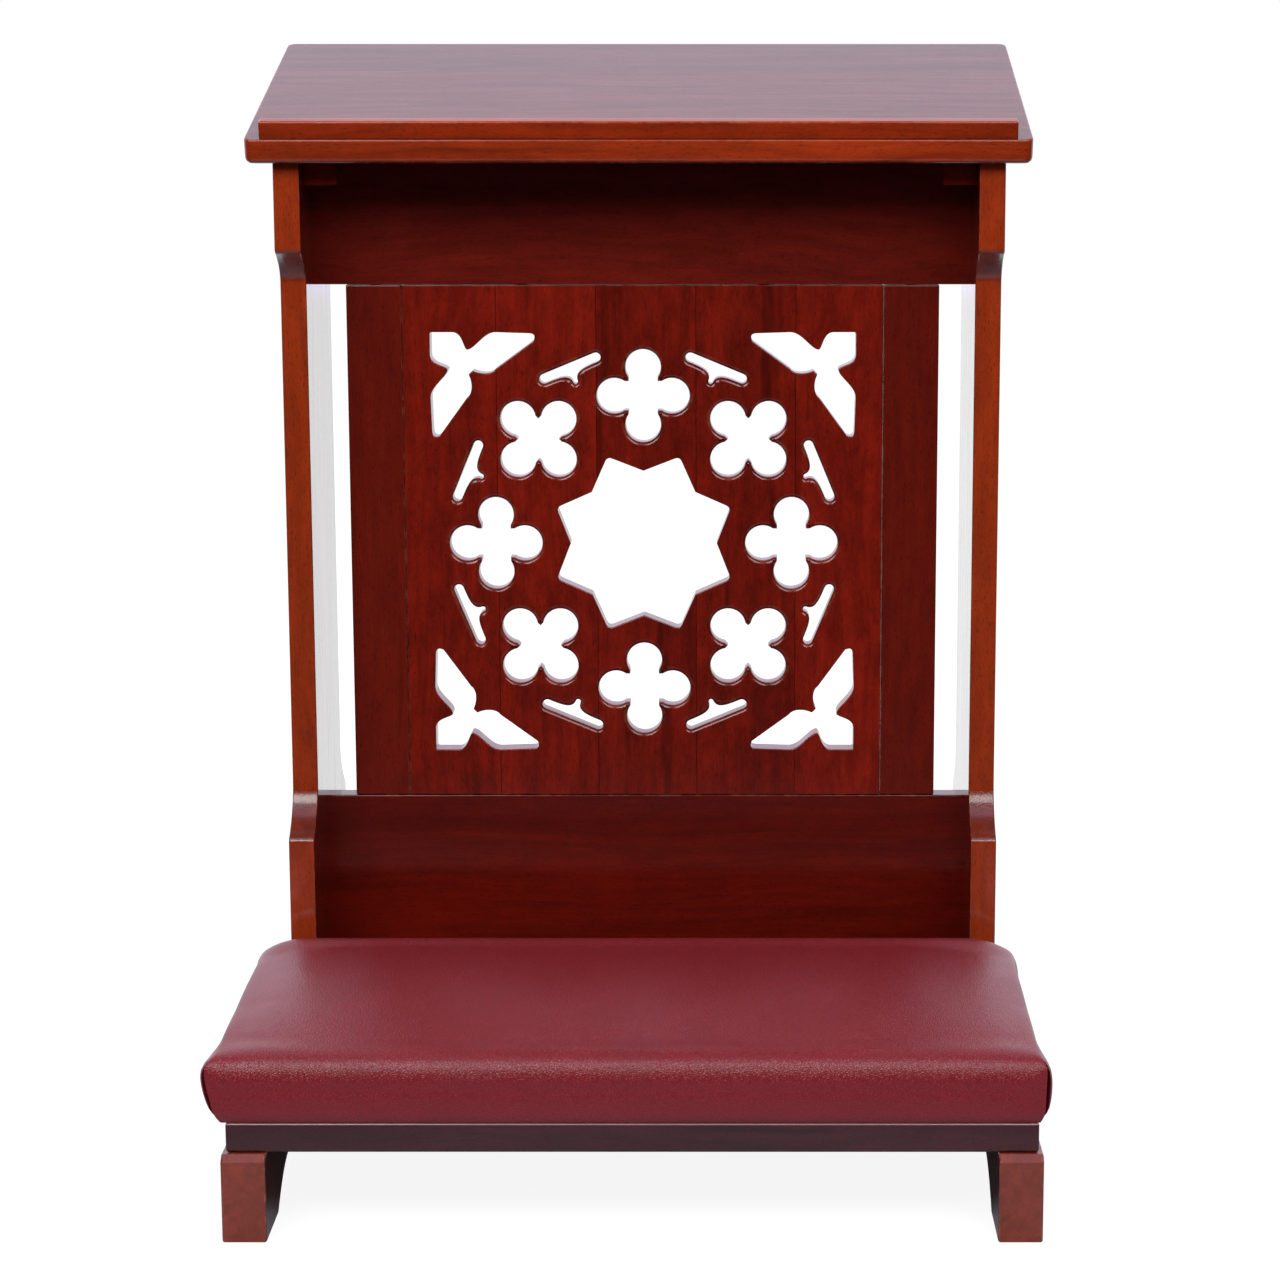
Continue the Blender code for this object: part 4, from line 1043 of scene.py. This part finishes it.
class PadSkin:
    """Grid of points over the pad, each known by its three counts across, back and up."""

    def __init__(self, pad, low, high):
        self.pad = pad
        self.low = low - Vector((pad.left_reach, 0.0, 0.0))
        self.high = high + Vector((pad.right_reach, 0.0, 0.0))
        self.across = spaced(self.low.x, self.high.x, pad.spacing)
        self.back = spaced(low.y, high.y, pad.spacing)
        self.ends = (0, len(self.across) - 1)
        self.sides = (0, len(self.back) - 1)
        self.levels = (0, round(2 * pad.shoulder / pad.spacing))
        self.keys = {}
        self.mesh = bpy.data.meshes.new("kneeling_pad")
        faces = []
        for axis, counts in ((2, self.levels), (1, self.sides), (0, self.ends)):
            for count in counts:
                faces += self.sheet(axis, count)
        for face in faces:
            for key in face:
                self.keys.setdefault(key, len(self.keys))
        points = [self.place(key) for key in self.keys]
        self.mesh.from_pydata(points, [], [[self.keys[key] for key in face] for face in faces])
        self.outward()

    def sheet(self, axis, count):
        """Faces of one side of the grid, where the count along one axis is fixed."""
        totals = [self.ends[1], self.sides[1], self.levels[1]]
        del totals[axis]
        faces = []
        for a in range(totals[0]):
            for b in range(totals[1]):
                corners = ((a, b), (a + 1, b), (a + 1, b + 1), (a, b + 1))
                faces.append([corner[:axis] + (count,) + corner[axis:] for corner in corners])
        return faces

    def outward(self):
        work = bmesh.new()
        work.from_mesh(self.mesh)
        bmesh.ops.recalc_face_normals(work, faces=work.faces)
        work.to_mesh(self.mesh)
        work.free()

    def place(self, key):
        pad = self.pad
        i, j, k = key
        x, y = self.across[i], self.back[j]
        aside = min(x - self.low.x, self.high.x - x)
        along = y - self.low.y
        share = k / self.levels[1]
        height = pad_height(pad, along, self.high.y - y, aside) * share
        lean = max(0.0, 1 - aside / pad.end_reach) ** 2 * share**LEAN_POWER * min(along / pad.ear_depth, 1.0)
        x += lean * (pad.left_inset if x < 0 else -pad.right_inset)
        tuck = pad.toe_round * (1 - quarter_round(height / pad.toe_round))
        x += tuck * ((i == 0) - (i == self.ends[1]))
        y += tuck * ((j == 0) - (j == self.sides[1]))
        return Vector((x, y, self.low.z + height))

    def freedom(self, key):
        """Share in which a point may swell: none at the base, the corners and the rounded edges."""
        i, j, k = key
        reach = FREE_STEPS * self.pad.spacing
        aside = min(self.across[i] - self.low.x, self.high.x - self.across[i])
        edge = min(self.back[j] - self.low.y, self.high.y - self.back[j])
        if k == self.levels[1]:
            return smooth_step((edge - self.pad.top_round) / reach) * smooth_step(aside / reach)
        return math.sin(math.pi * k / self.levels[1]) * smooth_step(max(aside, edge) / reach)

    def slacken(self):
        """Draw the skin in a little where it will swell."""
        normals = [vertex.normal.copy() for vertex in self.mesh.vertices]
        for key, index in self.keys.items():
            slack = self.pad.slack if key[2] == self.levels[1] else self.pad.side_slack
            self.mesh.vertices[index].co -= normals[index] * slack * self.freedom(key)

    def fold_corners(self):
        """Lean the ends, and fold a flap of skin beside each upright corner.

        An attribute marks the creases, with shade painted into the groove of each fold."""
        pad = self.pad
        painted_crease_shade = self.mesh.attributes.new("painted_crease_shade", "FLOAT", "POINT")
        for index in self.keys.values():
            point = self.mesh.vertices[index].co
            share = min((point.z - self.low.z) / pad.shoulder, 1.0)
            lean = pad.left_lean if point.x < 0 else pad.right_lean
            aside = max(min(point.x - self.low.x, self.high.x - point.x), 0.0)
            point.x -= math.copysign(lean * (1 - share) * smooth_step(1 - aside / pad.end_reach), point.x)
        for end, lift in zip(self.ends, (-pad.left_fold, pad.right_fold)):
            for side in self.sides:
                for k in range(1, self.levels[1]):
                    corner = self.mesh.vertices[self.keys[end, side, k]].co
                    bulge = math.sin(math.pi * k / self.levels[1]) ** BULGE_POWER
                    inward = 1 if side == 0 else -1
                    for number, (back, out, painted_shade) in enumerate(FOLD_COLUMNS, 1):
                        index = self.keys[end, side + inward * number, k]
                        point = self.mesh.vertices[index].co
                        target = Vector((out * lift, inward * back, point.z - corner.z))
                        self.mesh.vertices[index].co = point.lerp(corner + target, bulge)
                        painted_crease_shade.data[index].value = painted_shade * bulge

    def crease_corners(self):
        """Keep the upright corners and the folds beside them crisp."""
        pinched = self.mesh.attributes.new("crease_vert", "FLOAT", "POINT")
        for (i, j, k), index in self.keys.items():
            if i in self.ends and j in self.sides and k in self.levels:
                pinched.data[index].value = 1.0
        crisp = self.mesh.attributes.new("crease_edge", "FLOAT", "EDGE")
        sharp = self.mesh.attributes.new("sharp_edge", "BOOLEAN", "EDGE")
        column_of = {index: (i, j) for (i, j, k), index in self.keys.items() if i in self.ends}
        for number, edge in enumerate(self.mesh.edges):
            first, second = (column_of.get(index) for index in edge.vertices)
            if first and first == second and min(first[1], self.sides[1] - first[1]) < CRISP_COLUMNS:
                crisp.data[number].value = 1.0
                sharp.data[number].value = True


def swell(piece, pad, skin):
    """Let the pad swell under pressure from inside, as far as each point is free."""
    scene = bpy.context.scene
    group = piece.vertex_groups.new(name="held")
    for key, index in skin.keys.items():
        group.add([index], 1.0 - skin.freedom(key), "REPLACE")
    cloth = piece.modifiers.new("cloth", "CLOTH")
    cloth.settings.vertex_group_mass = group.name
    cloth.settings.use_pressure = True
    cloth.settings.uniform_pressure_force = pad.pressure
    cloth.settings.effector_weights.gravity = 0.0
    cloth.point_cache.frame_start, cloth.point_cache.frame_end = 1, pad.frames
    for number in range(1, pad.frames + 1):
        scene.frame_set(number)
    swollen = piece.evaluated_get(bpy.context.evaluated_depsgraph_get()).to_mesh()
    moves = [new.co - old.co for new, old in zip(swollen.vertices, piece.data.vertices)]
    piece.modifiers.remove(cloth)
    piece.vertex_groups.remove(group)
    scene.frame_set(1)
    for vertex, move in zip(piece.data.vertices, moves):
        vertex.co += move.normalized() * pad.swell_cap * math.tanh(move.length / pad.swell_cap)


class KNEELER_OT_pad(bpy.types.Operator):
    """Make the kneeling pad and let it swell."""

    bl_idname = "kneeler.pad"
    bl_label = "Kneeling Pad"

    def execute(self, context):
        settings = context.scene.kneeler
        pad = settings.pad
        low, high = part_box("pad_cover")
        skin = PadSkin(pad, low, high)
        piece = add_object("kneeling_pad", skin.mesh)
        skin.slacken()
        swell(piece, pad, skin)
        skin.fold_corners()
        skin.crease_corners()
        skin.mesh.shade_smooth()
        piece.modifiers.new("smooth", "SUBSURF").render_levels = 1
        leather = leatherette("pad_leatherette", settings.finish.leather)
        dress(piece, leather, "leatherette", "pad_cover", "pad_foam")
        coat(NODES["pad_base"], plywood("pad_plywood"))
        return {"FINISHED"}


class KNEELER_OT_fixings(bpy.types.Operator):
    """Finish the dowels, screws and bolts."""

    bl_idname = "kneeler.fixings"
    bl_label = "Dowels and Fasteners"

    def execute(self, context):
        wood = beech("dowel_beech")
        steel = zinc_plate("fastener_zinc")
        for name, node in NODES.items():
            if "dowel" in name:
                coat(node, wood)
            elif "screw" in name or "bolt" in name:
                coat(node, steel)
        return {"FINISHED"}


# Stage


# Place of each softbox, the point that it faces, and its width and depth
OVERHEAD_BOX = ((0.0, 1.1, 2.5), (0.0, 1.1, 0.0), (2.6, 2.2))
STRIP_BOX = ((0.0, -0.95, 2.6), (0.0, -0.95, 0.0), (2.6, 0.9))
LEFT_BOX = ((-1.1, -2.0, 2.0), (0.0, 0.0, 0.45), (1.7, 1.1))
RIGHT_BOX = ((1.1, -2.0, 2.0), (0.0, 0.0, 0.45), (1.7, 1.1))

# Colours of the floor near the kneeler, far away and to the camera
FLOOR_NEAR = (0.48, 0.465, 0.53)
FLOOR_FAR = (0.02, 0.02, 0.02)
FLOOR_SEEN = (0.20, 0.20, 0.20)
FLOOR_SEGMENTS = 96

WHITE = (1.0, 1.0, 1.0)
SENSOR_WIDTH = 36.0


def add_softbox(name, layout, power, tint=WHITE):
    place, target, size = layout
    lamp = bpy.data.lights.new(name, "AREA")
    lamp.shape = "RECTANGLE"
    lamp.size, lamp.size_y = size
    lamp.energy = power
    lamp.color = tint
    softbox = bpy.data.objects.new(name, lamp)
    softbox.location = place
    softbox.rotation_euler = (Vector(target) - Vector(place)).to_track_quat("-Z", "Y").to_euler()
    softbox.visible_camera = False
    bpy.context.scene.collection.objects.link(softbox)
    return softbox


def studio_world(stage):
    """White for the camera, a tinted wall behind for reflections, dim light from all round."""
    world = bpy.data.worlds.new("studio")
    kit = NodeKit(world)
    path = kit.node("LightPath").outputs
    heading = kit.parts(kit.node("TexCoord").outputs["Generated"])
    behind = kit.fade(heading["Y"], 0.05, 0.45, 0.0, stage.wall)
    wall = kit.times(path["Is Glossy Ray"], behind)
    ambient = kit.times(path["Is Diffuse Ray"], stage.ambient)
    seen = kit.math("MAXIMUM", path["Is Camera Ray"], wall)
    background = kit.nodes["Background"].inputs
    kit.feed(background["Color"], kit.mix(path["Is Glossy Ray"], opaque(WHITE), opaque(stage.tint)))
    kit.feed(background["Strength"], kit.math("MAXIMUM", seen, ambient))
    return world


def floor_finish():
    """Pale floor: white to the camera but for the shadow, elsewhere dim far away.

    In reflections the floor behind is white too."""
    finish = Finish("studio_floor")
    finish.nodes.remove(finish.surface)
    path = finish.node("LightPath").outputs
    reach = finish.node("VectorMath", {0: finish.place}, operation="LENGTH").outputs["Value"]
    far = finish.fade(reach, 0.45, 0.95)
    pale = finish.mix(far, opaque(FLOOR_NEAR), opaque(FLOOR_FAR))
    colour = finish.mix(path["Is Camera Ray"], pale, opaque(FLOOR_SEEN))
    glow = finish.times(path["Is Camera Ray"], finish.fade(far, 0.0, 1.0, 0.90, 1.0))
    behind = finish.fade(finish.parts(finish.place)["Y"], 0.25, 0.6)
    glow = finish.math("MAXIMUM", glow, finish.times(path["Is Glossy Ray"], behind))
    paint = finish.node("BsdfDiffuse", {"Color": colour}).outputs[0]
    white = finish.node("Emission", {"Strength": glow}).outputs[0]
    both = finish.node("AddShader", {0: paint, 1: white}).outputs[0]
    finish.feed(finish.nodes["Material Output"].inputs["Surface"], both)
    return finish.material


class KNEELER_OT_stage(bpy.types.Operator):
    """Set up the camera, the softboxes and the floor."""

    bl_idname = "kneeler.stage"
    bl_label = "Stage"

    def execute(self, context):
        stage = context.scene.kneeler.stage
        scene = context.scene
        camera = bpy.data.cameras.new("camera")
        camera.lens = stage.lens
        camera.sensor_width = SENSOR_WIDTH
        camera.shift_x = stage.shift
        viewer = bpy.data.objects.new("camera", camera)
        viewer.location = stage.camera
        viewer.rotation_euler = (math.pi / 2 - stage.pitch, 0.0, 0.0)
        scene.collection.objects.link(viewer)
        scene.camera = viewer
        overhead = add_softbox("overhead_softbox", OVERHEAD_BOX, stage.overhead, stage.tint)
        overhead.visible_glossy = False
        add_softbox("strip_softbox", STRIP_BOX, stage.strip, stage.strip_tint)
        add_softbox("left_softbox", LEFT_BOX, stage.left)
        add_softbox("right_softbox", RIGHT_BOX, stage.right)
        scene.world = studio_world(stage)
        scene.view_settings.view_transform = "Standard"
        work = bmesh.new()
        bmesh.ops.create_circle(work, cap_ends=True, radius=stage.floor_radius, segments=FLOOR_SEGMENTS)
        mesh = bpy.data.meshes.new("floor")
        work.to_mesh(mesh)
        work.free()
        mesh.materials.append(floor_finish())
        floor = bpy.data.objects.new("floor", mesh)
        scene.collection.objects.link(floor)
        return {"FINISHED"}


# Sidebar and registration


class KNEELER_PT_sidebar(bpy.types.Panel):
    """List the kneeler's steps and settings."""

    bl_idname = "KNEELER_PT_sidebar"
    bl_label = "Prayer Kneeler"
    bl_space_type = "VIEW_3D"
    bl_region_type = "UI"
    bl_category = "Kneeler"

    def draw(self, context):
        settings = context.scene.kneeler
        for operator in OPERATORS:
            self.layout.operator(operator.bl_idname)
        for group in KneelerSettings.__annotations__:
            box = self.layout.box()
            box.label(text=group.title())
            values = getattr(settings, group)
            for key in values.__annotations__:
                box.prop(values, key)


GROUPS = (
    KneelerDesk,
    KneelerBoards,
    KneelerTracery,
    KneelerPad,
    KneelerFinish,
    KneelerStage,
    KneelerSettings,
)
OPERATORS = (
    KNEELER_OT_stage,
    KNEELER_OT_desk,
    KNEELER_OT_side_boards,
    KNEELER_OT_rails,
    KNEELER_OT_panel,
    KNEELER_OT_base,
    KNEELER_OT_pad,
    KNEELER_OT_fixings,
)
CLASSES = GROUPS + OPERATORS + (KNEELER_PT_sidebar,)


def register():
    for cls in CLASSES:
        bpy.utils.register_class(cls)
    bpy.types.Scene.kneeler = PointerProperty(
        type=KneelerSettings, name="Kneeler", description="Kneeler settings"
    )


def unregister():
    del bpy.types.Scene.kneeler
    for cls in reversed(CLASSES):
        bpy.utils.unregister_class(cls)


def main():
    register()
    bpy.ops.kneeler.stage()
    bpy.ops.kneeler.desk()
    bpy.ops.kneeler.side_boards()
    bpy.ops.kneeler.rails()
    bpy.ops.kneeler.panel()
    bpy.ops.kneeler.base()
    bpy.ops.kneeler.pad()
    bpy.ops.kneeler.fixings()


if __name__ == "__main__":
    main()
